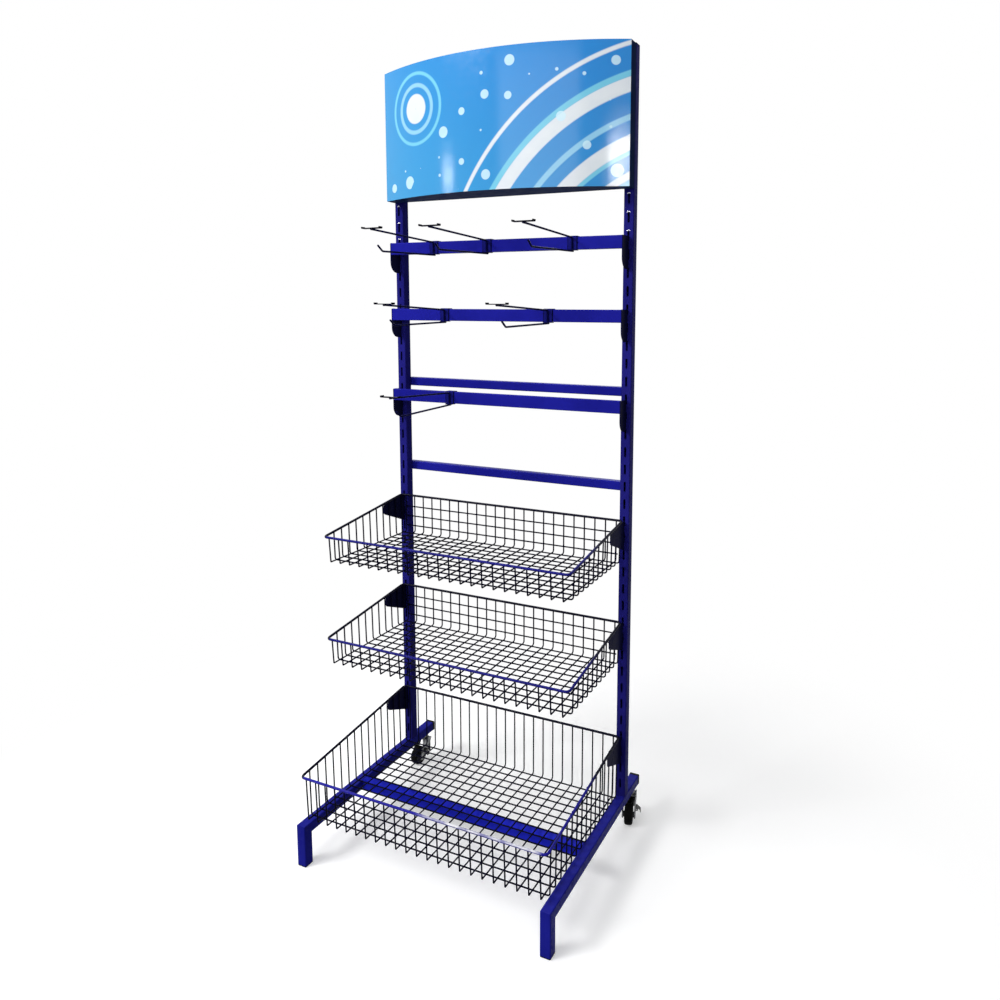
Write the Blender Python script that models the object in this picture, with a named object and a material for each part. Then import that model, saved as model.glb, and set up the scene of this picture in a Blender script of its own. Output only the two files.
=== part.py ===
# Wire display rack: slotted uprights on a castored base, a bowed header box,
# hook bars and wire baskets that hang in the slots.
# Metres, +Z up, front faces -Y, origin on the floor under the middle of the base.
import math

import bmesh
import bpy
from mathutils import Vector

# Small clearance between pieces that touch
GAP = 0.0003

# Frame tubes
TUBE = 0.025
TUBE_WALL = 0.0015
TUBE_CORNER = 0.0025
UPRIGHT_SPACING = 0.640
UPRIGHT_TOP = 1.904
CASTOR_HEIGHT = 0.077
LEG_LENGTH = 0.535
LEG_REAR = 0.110
CROSSBAR_AHEAD = 0.191
RAIL = 0.022
RAIL_RISES = {"upper": 1.026, "lower": 0.7956}
PLUG = 0.003
SPIGOT = 0.012

# Slots down the front of each upright
SLOT_PITCH = 0.042
SLOT_LENGTH = 0.024
SLOT_WIDTH = 0.0055
FIRST_SLOT_RISE = 0.046

# Header box
HEADER_HEIGHT = 0.315
HEADER_TOP_DROP = 0.003
HEADER_SIDE = 0.032
HEADER_BULGE = 0.074
HEADER_SHEET = 0.0015
HEADER_PANEL = 0.003
HEADER_STEPS = 16

# Hanging plates with two lugs each
PLATE = 0.0025
PLATE_HEIGHT = 0.075
NECK = 0.010
TONGUE = 0.003
TONGUE_DROP = 0.008

# Hook bars and hooks
BAR_HEIGHT = 0.030
BAR_DEPTH = 0.015
BAR_WALL = 0.0012
BAR_AHEAD = 0.038
BAR_BELOW_SLOT_TOP = 0.0125
BAR_DROPS = {"top": 0.1065, "middle": 0.2745, "bottom": 0.4845}
HOOK_PLACES = {"top": (-0.186, -0.032, 0.1965), "middle": (-0.156, 0.134), "bottom": (-0.144,)}
CLIP_WIDTH = 0.023
CLIP_SHEET = 0.0015
CLIP_LIP = 0.012
CLIP_LEDGE = 0.009
CLIP_TOE = 0.008
PRONG_WIRE = 0.0045
PRONG_REACH = 0.207
PRONG_DIP = 0.006
PRONG_TIP = 0.018
PRONG_TIP_RISE = 0.013
ARM_WIRE = 0.0045
ARM_REACH = 0.250
ARM_RISE = 0.011
STRIP_WIDTH = 0.050
STRIP_DEPTH = 0.012
STRIP_SHEET = 0.002
STRIP_LIP = 0.003

# Wire baskets: floor's back above the legs, rise of the floor to the front, front and back heights,
# depth at the rim, rows along the back
BASKETS = {
    "upper": (0.6095, 0.0, 0.060, 0.100, 0.304, 3),
    "middle": (0.3575, 0.0, 0.060, 0.100, 0.304, 3),
    "lower": (0.007, 0.008, 0.1035, 0.1565, 0.405, 0),
}
RIM = 0.006
RIM_CORNER = 0.010
RIM_BELOW_SLOT_TOP = 0.0085
RIM_AHEAD = 0.012
WIRE = 0.003
WIRE_PITCH = 0.0277
CROSS_PITCH = 0.0268
FIRST_CROSS = 0.005
SIDE_TAPER = 0.002
FRONT_TAPER = 0.004
SIDE_BEND = 0.006
BACK_BEND = 0.006
FRONT_BEND = 0.002
ROW_PITCH = 0.0263
FIRST_ROW = 0.031
BASKET_PLATE_REACH = 0.089
BASKET_PLATE_TIP = 0.028

# Castors
WHEEL = 0.050
WHEEL_WIDTH = 0.021
HUB_WIDTH = 0.0272
HUB_BOSS = 0.014
TYRE = 0.007
AXLE = 0.008
SWIVEL_BEHIND = 0.073
TRAIL = 0.024
CASTOR_TURNS = {"left": math.radians(174.0), "right": math.radians(195.0)}
HEAD = 0.025
HEAD_HEIGHT = 0.007
KINGPIN = 0.008
KINGPIN_HEAD = 0.013
STEM = 0.010
STEM_RISE = 0.016
FORK_SHEET = 0.002
FORK_GAP = 0.028
PEDAL_BEFORE_AXLE = 0.008
PEDAL_ABOVE_AXLE = 0.015
PEDAL_PIN = 0.003
PEDAL_BARREL = 0.008
PEDAL_EAR = 0.0038
PEDAL_SPAN = 0.015
PEDAL_CURVE = 0.0092
PEDAL_TAIL = 0.003
PEDAL_WIDTH = 0.010
PEDAL_SHEET = 0.002

# Levels that follow from the sizes above
LEG_TOP = CASTOR_HEIGHT + TUBE
LEG_FRONT_Y = -LEG_LENGTH / 2.0
LEG_REAR_Y = LEG_LENGTH / 2.0
FACE_Y = LEG_REAR_Y - LEG_REAR
HALF = UPRIGHT_SPACING / 2.0
HEADER_TOP = UPRIGHT_TOP - HEADER_TOP_DROP
HEADER_BOTTOM = HEADER_TOP - HEADER_HEIGHT
FIRST_SLOT_TOP = LEG_TOP + FIRST_SLOT_RISE
SLOT_COUNT = int((HEADER_BOTTOM - 0.008 - FIRST_SLOT_TOP) / SLOT_PITCH) + 1
RIM_HALF = HALF
RIM_UNDER = RIM / 2.0 + GAP
WELD_HALF = HALF - PLATE / 2.0 - GAP - WIRE / 2.0
SIDES = {"left": -1.0, "right": 1.0}

# Finishes: colour, roughness, metallic
BLUE = ((0.012, 0.012, 0.30), 0.3, 0.0)
NAVY = ((0.006, 0.006, 0.06), 0.35, 0.0)
PRINT = ((0.25, 0.55, 0.85), 0.25, 0.0)
ZINC = ((0.75, 0.75, 0.77), 0.25, 1.0)
BLACK = ((0.02, 0.02, 0.02), 0.55, 0.0)
GREY = ((0.25, 0.25, 0.26), 0.5, 0.0)


# Empty the scene
def reset():
    for item in list(bpy.data.objects):
        bpy.data.objects.remove(item, do_unlink=True)


# One finish for one piece
def finish(name, look):
    colour, roughness, metallic = look
    material = bpy.data.materials.new(name + "_finish")
    material.use_nodes = True
    shader = material.node_tree.nodes["Principled BSDF"]
    shader.inputs["Base Color"].default_value = (*colour, 1.0)
    shader.inputs["Roughness"].default_value = roughness
    shader.inputs["Metallic"].default_value = metallic
    return material


# Empty on a joint's axis; returned with its place in the world
def pivot(name, point, parent=None):
    empty = bpy.data.objects.new(name, None)
    bpy.context.scene.collection.objects.link(empty)
    point = Vector(point)
    empty.location = point
    if parent is not None:
        empty.parent = parent[0]
        empty.location = point - parent[1]
    return empty, point


# Turn a shape into a named piece, with its origin on its pivot
def place(name, shape, look, joint=None):
    bmesh.ops.recalc_face_normals(shape, faces=shape.faces[:])
    if joint is not None:
        bmesh.ops.translate(shape, verts=shape.verts[:], vec=-joint[1])
    mesh = bpy.data.meshes.new(name)
    shape.to_mesh(mesh)
    shape.free()
    mesh.materials.append(finish(name, look))
    item = bpy.data.objects.new(name, mesh)
    bpy.context.scene.collection.objects.link(item)
    if joint is not None:
        item.parent = joint[0]
    return item


# Place a flat point (a, b) at a level along an axis
def spot(axis, a, b, level):
    if axis == "X":
        return Vector((level, a, b))
    if axis == "Y":
        return Vector((a, level, b))
    return Vector((a, b, level))


# Straight solid between two levels
def prism(shape, outline, axis, start, end):
    low = [shape.verts.new(spot(axis, a, b, start)) for a, b in outline]
    high = [shape.verts.new(spot(axis, a, b, end)) for a, b in outline]
    shape.faces.new(low)
    shape.faces.new(list(reversed(high)))
    for i in range(len(outline)):
        j = (i + 1) % len(outline)
        shape.faces.new((low[i], high[i], high[j], low[j]))
    return shape


# Rectangle with one small facet on each corner
def rounded(a, b, width, height, corner):
    points = []
    for sx, sy in ((1, 1), (-1, 1), (-1, -1), (1, -1)):
        x = a + sx * (width / 2.0 - corner)
        y = b + sy * (height / 2.0 - corner)
        first = (x + sx * corner, y)
        second = (x, y + sy * corner)
        points.extend((first, second) if sx * sy > 0 else (second, first))
    return points


# Plain box between two corners
def box(shape, low, high):
    outline = ((low[0], low[1]), (high[0], low[1]), (high[0], high[1]), (low[0], high[1]))
    return prism(shape, outline, "Z", low[2], high[2])


# Circle as an outline
def circle(a, b, radius, steps, turn=0.0):
    points = []
    for i in range(steps):
        angle = turn + 2.0 * math.pi * i / steps
        points.append((a + radius * math.cos(angle), b + radius * math.sin(angle)))
    return points


# Hollow rectangular tube, open at both ends
def tube(axis, a, b, width, height, wall, corner, start, end):
    shape = bmesh.new()
    inner_corner = max(corner - wall, corner * 0.3)
    outer = rounded(a, b, width, height, corner)
    inner = rounded(a, b, width - 2 * wall, height - 2 * wall, inner_corner)
    rings = []
    for outline, level in ((outer, start), (outer, end), (inner, end), (inner, start)):
        rings.append([shape.verts.new(spot(axis, p, q, level)) for p, q in outline])
    for r in range(4):
        here = rings[r]
        there = rings[(r + 1) % 4]
        for i in range(len(here)):
            j = (i + 1) % len(here)
            shape.faces.new((here[i], here[j], there[j], there[i]))
    return shape


# Turned shape about an axis: profile of (radius, level), closed ring or ending on the axis
def turned(profile, axis, a, b, steps, ring):
    shape = bmesh.new()
    columns = []
    poles = {}
    for i in range(steps):
        angle = 2.0 * math.pi * i / steps
        column = []
        for k, (radius, level) in enumerate(profile):
            if radius < 1e-9:
                if k not in poles:
                    poles[k] = shape.verts.new(spot(axis, a, b, level))
                column.append(poles[k])
                continue
            p = a + radius * math.cos(angle)
            q = b + radius * math.sin(angle)
            column.append(shape.verts.new(spot(axis, p, q, level)))
        columns.append(column)
    count = len(profile) if ring else len(profile) - 1
    for i in range(steps):
        here = columns[i]
        there = columns[(i + 1) % steps]
        for k in range(count):
            n = (k + 1) % len(profile)
            corners = [here[k], here[n], there[n], there[k]]
            unique = list(dict.fromkeys(corners))
            shape.faces.new(unique)
    return shape


# Round the corners of a path of points
def fillet(points, radii, steps, closed=False):
    path = []
    count = len(points)
    for i, point in enumerate(points):
        radius = radii[i]
        if radius <= 0.0 or (not closed and i in (0, count - 1)):
            path.append(point.copy())
            continue
        back = (points[i - 1] - point).normalized()
        ahead = (points[(i + 1) % count] - point).normalized()
        half = back.angle(ahead) / 2.0
        reach = radius / math.tan(half)
        centre = point + (back + ahead).normalized() * (radius / math.sin(half))
        start = point + back * reach - centre
        end = point + ahead * reach - centre
        sweep_angle = start.angle(end)
        for s in range(steps + 1):
            u = s / steps
            p = start * math.sin((1.0 - u) * sweep_angle)
            q = end * math.sin(u * sweep_angle)
            path.append(centre + (p + q) / math.sin(sweep_angle))
    return path


# Wire of few sides along a flat path, mitred at each point
def wire(shape, path, diameter, sides, normal, closed=False):
    normal = Vector(normal).normalized()
    corner = diameter / 2.0 * math.sqrt(2.0 * math.pi / (sides * math.sin(2.0 * math.pi / sides)))
    rings = []
    count = len(path)
    for i, point in enumerate(path):
        before = path[i - 1] if closed or i > 0 else None
        after = path[(i + 1) % count] if closed or i < count - 1 else None
        d_in = (point - before).normalized() if before is not None else None
        d_out = (after - point).normalized() if after is not None else None
        d_in = d_out if d_in is None else d_in
        d_out = d_in if d_out is None else d_out
        along = (d_in + d_out).normalized()
        across = normal.cross(along) / max(along.dot(d_in), 0.2)
        ring = []
        for k in range(sides):
            angle = (k + 0.5) * 2.0 * math.pi / sides
            offset = normal * math.cos(angle) + across * math.sin(angle)
            ring.append(shape.verts.new(point + corner * offset))
        rings.append(ring)
    spans = count if closed else count - 1
    for i in range(spans):
        here = rings[i]
        there = rings[(i + 1) % count]
        for k in range(sides):
            n = (k + 1) % sides
            shape.faces.new((here[k], here[n], there[n], there[k]))
    if not closed:
        shape.faces.new(list(reversed(rings[0])))
        shape.faces.new(rings[-1])
    return shape


# Exact union or difference of two shapes
def combine(shape, tool, operation):
    items = []
    for label, part in (("base", shape), ("tool", tool)):
        bmesh.ops.recalc_face_normals(part, faces=part.faces[:])
        mesh = bpy.data.meshes.new(label)
        part.to_mesh(mesh)
        part.free()
        item = bpy.data.objects.new(label, mesh)
        bpy.context.scene.collection.objects.link(item)
        items.append(item)
    items[1].hide_render = True
    items[1].display_type = "WIRE"
    modifier = items[0].modifiers.new("combine", "BOOLEAN")
    modifier.operation = operation
    modifier.solver = "EXACT"
    modifier.object = items[1]
    view = bpy.context.evaluated_depsgraph_get()
    mesh = bpy.data.meshes.new_from_object(items[0].evaluated_get(view))
    result = bmesh.new()
    result.from_mesh(mesh)
    bpy.data.meshes.remove(mesh)
    for item in items:
        data = item.data
        bpy.data.objects.remove(item, do_unlink=True)
        bpy.data.meshes.remove(data)
    return result


# Upper end of a slot, counted from the lowest
def slot_top(index):
    return FIRST_SLOT_TOP + index * SLOT_PITCH


# Index of the slot nearest to a wanted height of its upper end
def nearest_slot(height):
    index = round((height - FIRST_SLOT_TOP) / SLOT_PITCH)
    return min(max(index, 1), SLOT_COUNT - 1)


# Index of the first slot at or above a wanted height
def slot_above(height):
    index = math.ceil((height - FIRST_SLOT_TOP) / SLOT_PITCH - 1e-4)
    return min(max(index, 1), SLOT_COUNT - 1)


# Plug that closes a tube end: flange outside, spigot inside
def plug(axis, a, b, seat, out):
    flange = bmesh.new()
    prism(flange, rounded(a, b, TUBE, TUBE, TUBE_CORNER), axis, seat, seat + out * PLUG)
    spigot = bmesh.new()
    size = TUBE - 2.0 * TUBE_WALL - 2.0 * GAP
    inner_corner = max(TUBE_CORNER - TUBE_WALL, TUBE_CORNER * 0.3) + GAP
    outline = rounded(a, b, size, size, inner_corner)
    prism(spigot, outline, axis, seat - out * SPIGOT, seat + out * PLUG / 2.0)
    return combine(flange, spigot, "UNION")


# Slotted uprights and their caps
def build_uprights():
    middle_y = FACE_Y + TUBE / 2.0
    end = UPRIGHT_TOP - PLUG
    for label, side in SIDES.items():
        x = side * HALF
        shape = tube("Z", x, middle_y, TUBE, TUBE, TUBE_WALL, TUBE_CORNER, LEG_TOP + GAP, end - GAP)
        slots = bmesh.new()
        for index in range(SLOT_COUNT):
            top = slot_top(index)
            low = (x - SLOT_WIDTH / 2.0, FACE_Y - TUBE_WALL, top - SLOT_LENGTH)
            high = (x + SLOT_WIDTH / 2.0, FACE_Y + TUBE_WALL * 2.0, top)
            box(slots, low, high)
        place("upright_" + label, combine(shape, slots, "DIFFERENCE"), BLUE)
        place("upright_cap_" + label, plug("Z", x, middle_y, end, 1.0), BLACK)


# Legs with mitred feet, plugs, crossbar and cross rails
def build_base():
    middle_z = LEG_TOP - TUBE / 2.0
    rear = LEG_REAR_Y - PLUG
    mitre = 0.7 * GAP
    swivel_y = FACE_Y + SWIVEL_BEHIND
    for label, side in SIDES.items():
        x = side * HALF
        shape = tube("Y", x, middle_z, TUBE, TUBE, TUBE_WALL, TUBE_CORNER, LEG_FRONT_Y, rear - GAP)
        for vert in shape.verts:
            if vert.co.y < LEG_FRONT_Y + GAP:
                vert.co.y = LEG_FRONT_Y + LEG_TOP - vert.co.z + mitre
        hole = bmesh.new()
        floor = LEG_TOP - TUBE
        outline = circle(x, swivel_y, STEM / 2.0 + GAP, 16)
        prism(hole, outline, "Z", floor - TUBE_WALL, floor + TUBE_WALL * 2.0)
        place("base_leg_" + label, combine(shape, hole, "DIFFERENCE"), BLUE)
        place("leg_plug_" + label, plug("Y", x, middle_z, rear, 1.0), BLACK)
        front_y = LEG_FRONT_Y + TUBE / 2.0
        foot = tube("Z", x, front_y, TUBE, TUBE, TUBE_WALL, TUBE_CORNER, PLUG + GAP, LEG_TOP)
        for vert in foot.verts:
            if vert.co.z > LEG_TOP - GAP:
                vert.co.z = LEG_TOP - (vert.co.y - LEG_FRONT_Y) - mitre
        place("front_foot_" + label, foot, BLUE)
        place("foot_glide_" + label, plug("Z", x, front_y, PLUG, -1.0), BLACK)
    reach = HALF - TUBE / 2.0 - GAP
    bar_y = FACE_Y - CROSSBAR_AHEAD - TUBE / 2.0
    crossbar = tube("X", bar_y, middle_z, TUBE, TUBE, TUBE_WALL, TUBE_CORNER, -reach, reach)
    place("base_crossbar", crossbar, BLUE)
    rail_y = FACE_Y + TUBE + GAP + RAIL / 2.0
    for label, rise in RAIL_RISES.items():
        z = LEG_TOP + rise - RAIL / 2.0
        rail = tube("X", rail_y, z, RAIL, RAIL, TUBE_WALL, TUBE_CORNER, -HALF, HALF)
        place("cross_rail_" + label, rail, BLUE)


# Points of a bowed line across the header, seen from above
def bow(edge_y, depth, half, steps):
    radius = (half * half + depth * depth) / (2.0 * depth)
    spread = math.asin(half / radius)
    points = []
    for i in range(steps + 1):
        angle = -spread + 2.0 * spread * i / steps
        points.append((radius * math.sin(angle), edge_y - depth + radius * (1.0 - math.cos(angle))))
    return points


# Bowed panel in front of a folded tray
def build_header():
    half = HALF + TUBE / 2.0
    edge = FACE_Y - HEADER_SIDE
    front = bow(edge, HEADER_BULGE, half, HEADER_STEPS)
    back = bow(edge + HEADER_PANEL, HEADER_BULGE, half, HEADER_STEPS)
    panel = bmesh.new()
    prism(panel, front + back[::-1], "Z", HEADER_BOTTOM, HEADER_TOP)
    place("header_panel", panel, PRINT)
    seat = bow(edge + HEADER_PANEL + GAP, HEADER_BULGE, half, HEADER_STEPS)
    rear = FACE_Y - GAP
    tray = bmesh.new()
    prism(tray, seat + [(half, rear), (-half, rear)], "Z", HEADER_BOTTOM, HEADER_TOP)
    room = bmesh.new()
    inner = half - HEADER_SHEET
    ahead = FACE_Y - HEADER_SIDE - HEADER_BULGE - 0.02
    low = (-inner, ahead, HEADER_BOTTOM + HEADER_SHEET)
    high = (inner, rear - HEADER_SHEET, HEADER_TOP - HEADER_SHEET)
    box(room, low, high)
    place("header_tray", combine(tray, room, "DIFFERENCE"), NAVY)


# Side plate with lugs that drop into two slots
def hanging_plate(x, outline, index):
    rear = FACE_Y - GAP
    points = list(outline)
    inside = FACE_Y + TUBE_WALL + GAP
    for k in (index - 1, index):
        low = slot_top(k) - SLOT_LENGTH + GAP
        points.append((rear, low))
        points.append((inside, low))
        points.append((inside, low - TONGUE_DROP))
        points.append((inside + TONGUE, low - TONGUE_DROP))
        points.append((inside + TONGUE, low + NECK))
        points.append((rear, low + NECK))
    shape = bmesh.new()
    return prism(shape, points, "X", x - PLATE / 2.0, x + PLATE / 2.0)


# Clip over a bar with its prong
def hook_shape(x, front_y, bar_top):
    bottom = bar_top - BAR_HEIGHT
    near = front_y - GAP
    far = front_y + BAR_DEPTH + GAP
    roof = bar_top + GAP
    ground = bottom - GAP
    t = CLIP_SHEET
    outline = [
        (far + t, roof - CLIP_LIP),
        (far + t, roof + t),
        (near - t, roof + t),
        (near - t, ground),
        (near - t - CLIP_TOE, ground),
        (near - t - CLIP_TOE, ground - t),
        (near + CLIP_LEDGE, ground - t),
        (near + CLIP_LEDGE, ground),
        (near, ground),
        (near, roof),
        (far, roof),
        (far, roof - CLIP_LIP),
    ]
    clip = bmesh.new()
    prism(clip, outline, "X", x - CLIP_WIDTH / 2.0, x + CLIP_WIDTH / 2.0)
    root = Vector((x, near + CLIP_LEDGE / 2.0, ground - t - PRONG_WIRE * 0.3))
    bend = Vector((x, front_y - PRONG_REACH, root.z - PRONG_DIP))
    tip = bend + Vector((0.0, -PRONG_TIP, PRONG_TIP_RISE))
    path = fillet([root, bend, tip], [0.0, 0.010, 0.0], 3)
    prong = bmesh.new()
    wire(prong, path, PRONG_WIRE, 6, (1.0, 0.0, 0.0))
    return combine(clip, prong, "UNION")


# Label arm above a prong, ending under a cross strip
def arm_shape(x, front_y, bar_top):
    start_y = front_y - 2.0 * GAP - CLIP_SHEET
    start = Vector((x, start_y, bar_top - ARM_WIRE / 2.0))
    end_y = front_y - ARM_REACH
    bend = Vector((x, end_y + STRIP_DEPTH, bar_top + ARM_RISE - ARM_WIRE))
    end = Vector((x, end_y + STRIP_DEPTH * 0.1, bend.z))
    path = fillet([start, bend, end], [0.0, 0.008, 0.0], 2)
    arm = bmesh.new()
    wire(arm, path, ARM_WIRE, 6, (1.0, 0.0, 0.0))
    low = bend.z + ARM_WIRE * 0.3
    w = STRIP_WIDTH / 2.0
    t = STRIP_SHEET
    outline = [
        (x - w, low + STRIP_LIP),
        (x - w, low),
        (x + w, low),
        (x + w, low + STRIP_LIP),
        (x + w - t, low + STRIP_LIP),
        (x + w - t, low + t),
        (x - w + t, low + t),
        (x - w + t, low + STRIP_LIP),
    ]
    strip = bmesh.new()
    prism(strip, outline, "Y", end_y, end_y + STRIP_DEPTH)
    return combine(arm, strip, "UNION")


# Hook bars, their end plates and the hooks that slide on them
def build_bars():
    front_y = FACE_Y - BAR_AHEAD
    reach = HALF - PLATE / 2.0 - GAP
    for label, drop in BAR_DROPS.items():
        index = nearest_slot(HEADER_BOTTOM - drop + BAR_BELOW_SLOT_TOP)
        top = slot_top(index) - BAR_BELOW_SLOT_TOP
        middle_y = front_y + BAR_DEPTH / 2.0
        lift = pivot("bar_lift_" + label, (0.0, middle_y, top))
        z = top - BAR_HEIGHT / 2.0
        bar = tube("X", middle_y, z, BAR_DEPTH, BAR_HEIGHT, BAR_WALL, BAR_WALL, -reach, reach)
        place("hook_bar_" + label, bar, BLUE, lift)
        low = top - PLATE_HEIGHT
        rear = FACE_Y - GAP
        outline = [
            (rear, top),
            (front_y, top),
            (front_y, low + PLATE_HEIGHT * 0.28),
            (front_y + BAR_AHEAD * 0.16, low + PLATE_HEIGHT * 0.12),
            (front_y + BAR_AHEAD * 0.5, low),
            (rear, low),
        ]
        for side_label, side in SIDES.items():
            name = "bar_plate_" + label + "_" + side_label
            place(name, hanging_plate(side * HALF, outline, index), NAVY, lift)
        for number, x in enumerate(HOOK_PLACES[label], 1):
            slide = pivot("hook_slide_%s_%d" % (label, number), (x, middle_y, top), lift)
            place("peg_hook_%s_%d" % (label, number), hook_shape(x, front_y, top), NAVY, slide)
            place("label_arm_%s_%d" % (label, number), arm_shape(x, front_y, top), NAVY, slide)


# One wire basket as a single welded piece
def basket_shape(rim_z, tilt, fall, back_height, depth, rows):
    back_y = FACE_Y - RIM_AHEAD
    front_y = back_y - depth
    floor_front_y = front_y + FRONT_TAPER
    normal = Vector((0.0, -fall, 1.0)).normalized()

    def rim_level(y):
        return rim_z - fall * (back_y - y)

    def floor_level(y):
        return rim_z - back_height + tilt * (back_y - y) / (back_y - floor_front_y)

    corners = []
    for sx, y in ((-1, front_y), (1, front_y), (1, back_y), (-1, back_y)):
        corners.append(Vector((sx * RIM_HALF, y, rim_level(y))))
    rim = bmesh.new()
    wire(rim, fillet(corners, [RIM_CORNER] * 4, 3, True), RIM, 6, normal, True)

    # Wires from the back rim down, along the floor and up the front
    wires = bmesh.new()
    side_half = WELD_HALF - SIDE_TAPER
    count = int((side_half - SIDE_BEND) / WIRE_PITCH)
    for i in range(-count, count + 1):
        x = i * WIRE_PITCH
        points = [
            Vector((x, back_y, rim_z)),
            Vector((x, back_y, floor_level(back_y))),
            Vector((x, floor_front_y, floor_level(floor_front_y))),
            Vector((x, front_y, rim_level(front_y))),
        ]
        path = fillet(points, [0.0, BACK_BEND, FRONT_BEND, 0.0], 2)
        wire(wires, path, WIRE, 4, (1.0, 0.0, 0.0))

    # Wires across, under the others and up both sides
    y = back_y - FIRST_CROSS
    while y > floor_front_y + WIRE + FRONT_BEND:
        under = floor_level(y) - WIRE - GAP
        points = [
            Vector((-WELD_HALF, y, rim_level(y))),
            Vector((-side_half, y, under)),
            Vector((side_half, y, under)),
            Vector((WELD_HALF, y, rim_level(y))),
        ]
        path = fillet(points, [0.0, SIDE_BEND, SIDE_BEND, 0.0], 2)
        wire(wires, path, WIRE, 4, (0.0, 1.0, 0.0))
        y -= CROSS_PITCH
    shape = combine(rim, wires, "UNION")
    if rows == 0:
        return shape

    # Rows along the back wall, welded to the outermost wires
    bands = bmesh.new()
    end_x = count * WIRE_PITCH
    row_y = back_y + WIRE + GAP
    for k in range(rows):
        z = rim_z - FIRST_ROW - k * ROW_PITCH
        path = [
            Vector((-end_x, back_y, z)),
            Vector((-end_x + WIRE_PITCH * 0.3, row_y, z)),
            Vector((end_x - WIRE_PITCH * 0.3, row_y, z)),
            Vector((end_x, back_y, z)),
        ]
        wire(bands, path, WIRE, 4, (0.0, 0.0, 1.0))
    return combine(shape, bands, "UNION")


# Baskets and the plates that hang them
def build_baskets():
    for label, (rise, tilt, front_height, back_height, depth, rows) in BASKETS.items():
        wanted = LEG_TOP + rise + back_height
        index = slot_above(wanted + RIM_BELOW_SLOT_TOP)
        rim_z = slot_top(index) - RIM_BELOW_SLOT_TOP
        fall = (back_height - front_height - tilt) / depth
        lift = pivot("basket_lift_" + label, (0.0, FACE_Y, rim_z))
        shape = basket_shape(rim_z, tilt, fall, back_height, depth, rows)
        place("basket_" + label, shape, BLUE, lift)
        rear = FACE_Y - GAP
        tip_y = FACE_Y - BASKET_PLATE_REACH
        tip_z = rim_z - fall * (BASKET_PLATE_REACH - RIM_AHEAD)
        outline = [
            (rear, rim_z - RIM_UNDER),
            (FACE_Y - RIM_AHEAD, rim_z - RIM_UNDER),
            (tip_y, tip_z - RIM_UNDER),
            (tip_y, tip_z - BASKET_PLATE_TIP),
            (rear, rim_z - PLATE_HEIGHT),
        ]
        for side_label, side in SIDES.items():
            name = "basket_plate_" + label + "_" + side_label
            place(name, hanging_plate(side * HALF, outline, index), NAVY, lift)


# Outer boundary of a set of flat points
def hull(points):
    ordered = sorted(set(points))

    def chain(sequence):
        line = []
        for p in sequence:
            while len(line) > 1:
                (ax, ay), (bx, by) = line[-2], line[-1]
                if (bx - ax) * (p[1] - ay) - (by - ay) * (p[0] - ax) > 0:
                    break
                line.pop()
            line.append(p)
        return line[:-1]

    return chain(ordered) + chain(ordered[::-1])


# Curved strap of a brake lever, from above its pin out and down
def lever_outline(pin_x, pin_z, rise):
    centre_z = pin_z + rise - PEDAL_CURVE
    outline = []
    for radius, turns in ((PEDAL_CURVE + PEDAL_SHEET / 2.0, 1), (PEDAL_CURVE - PEDAL_SHEET / 2.0, -1)):
        arc = [(pin_x - radius, centre_z - PEDAL_TAIL)]
        for k in range(7):
            angle = math.pi / 2.0 * k / 6.0
            arc.append((pin_x - radius * math.cos(angle), centre_z + radius * math.sin(angle)))
        outline += arc[::turns]
    return outline


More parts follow.
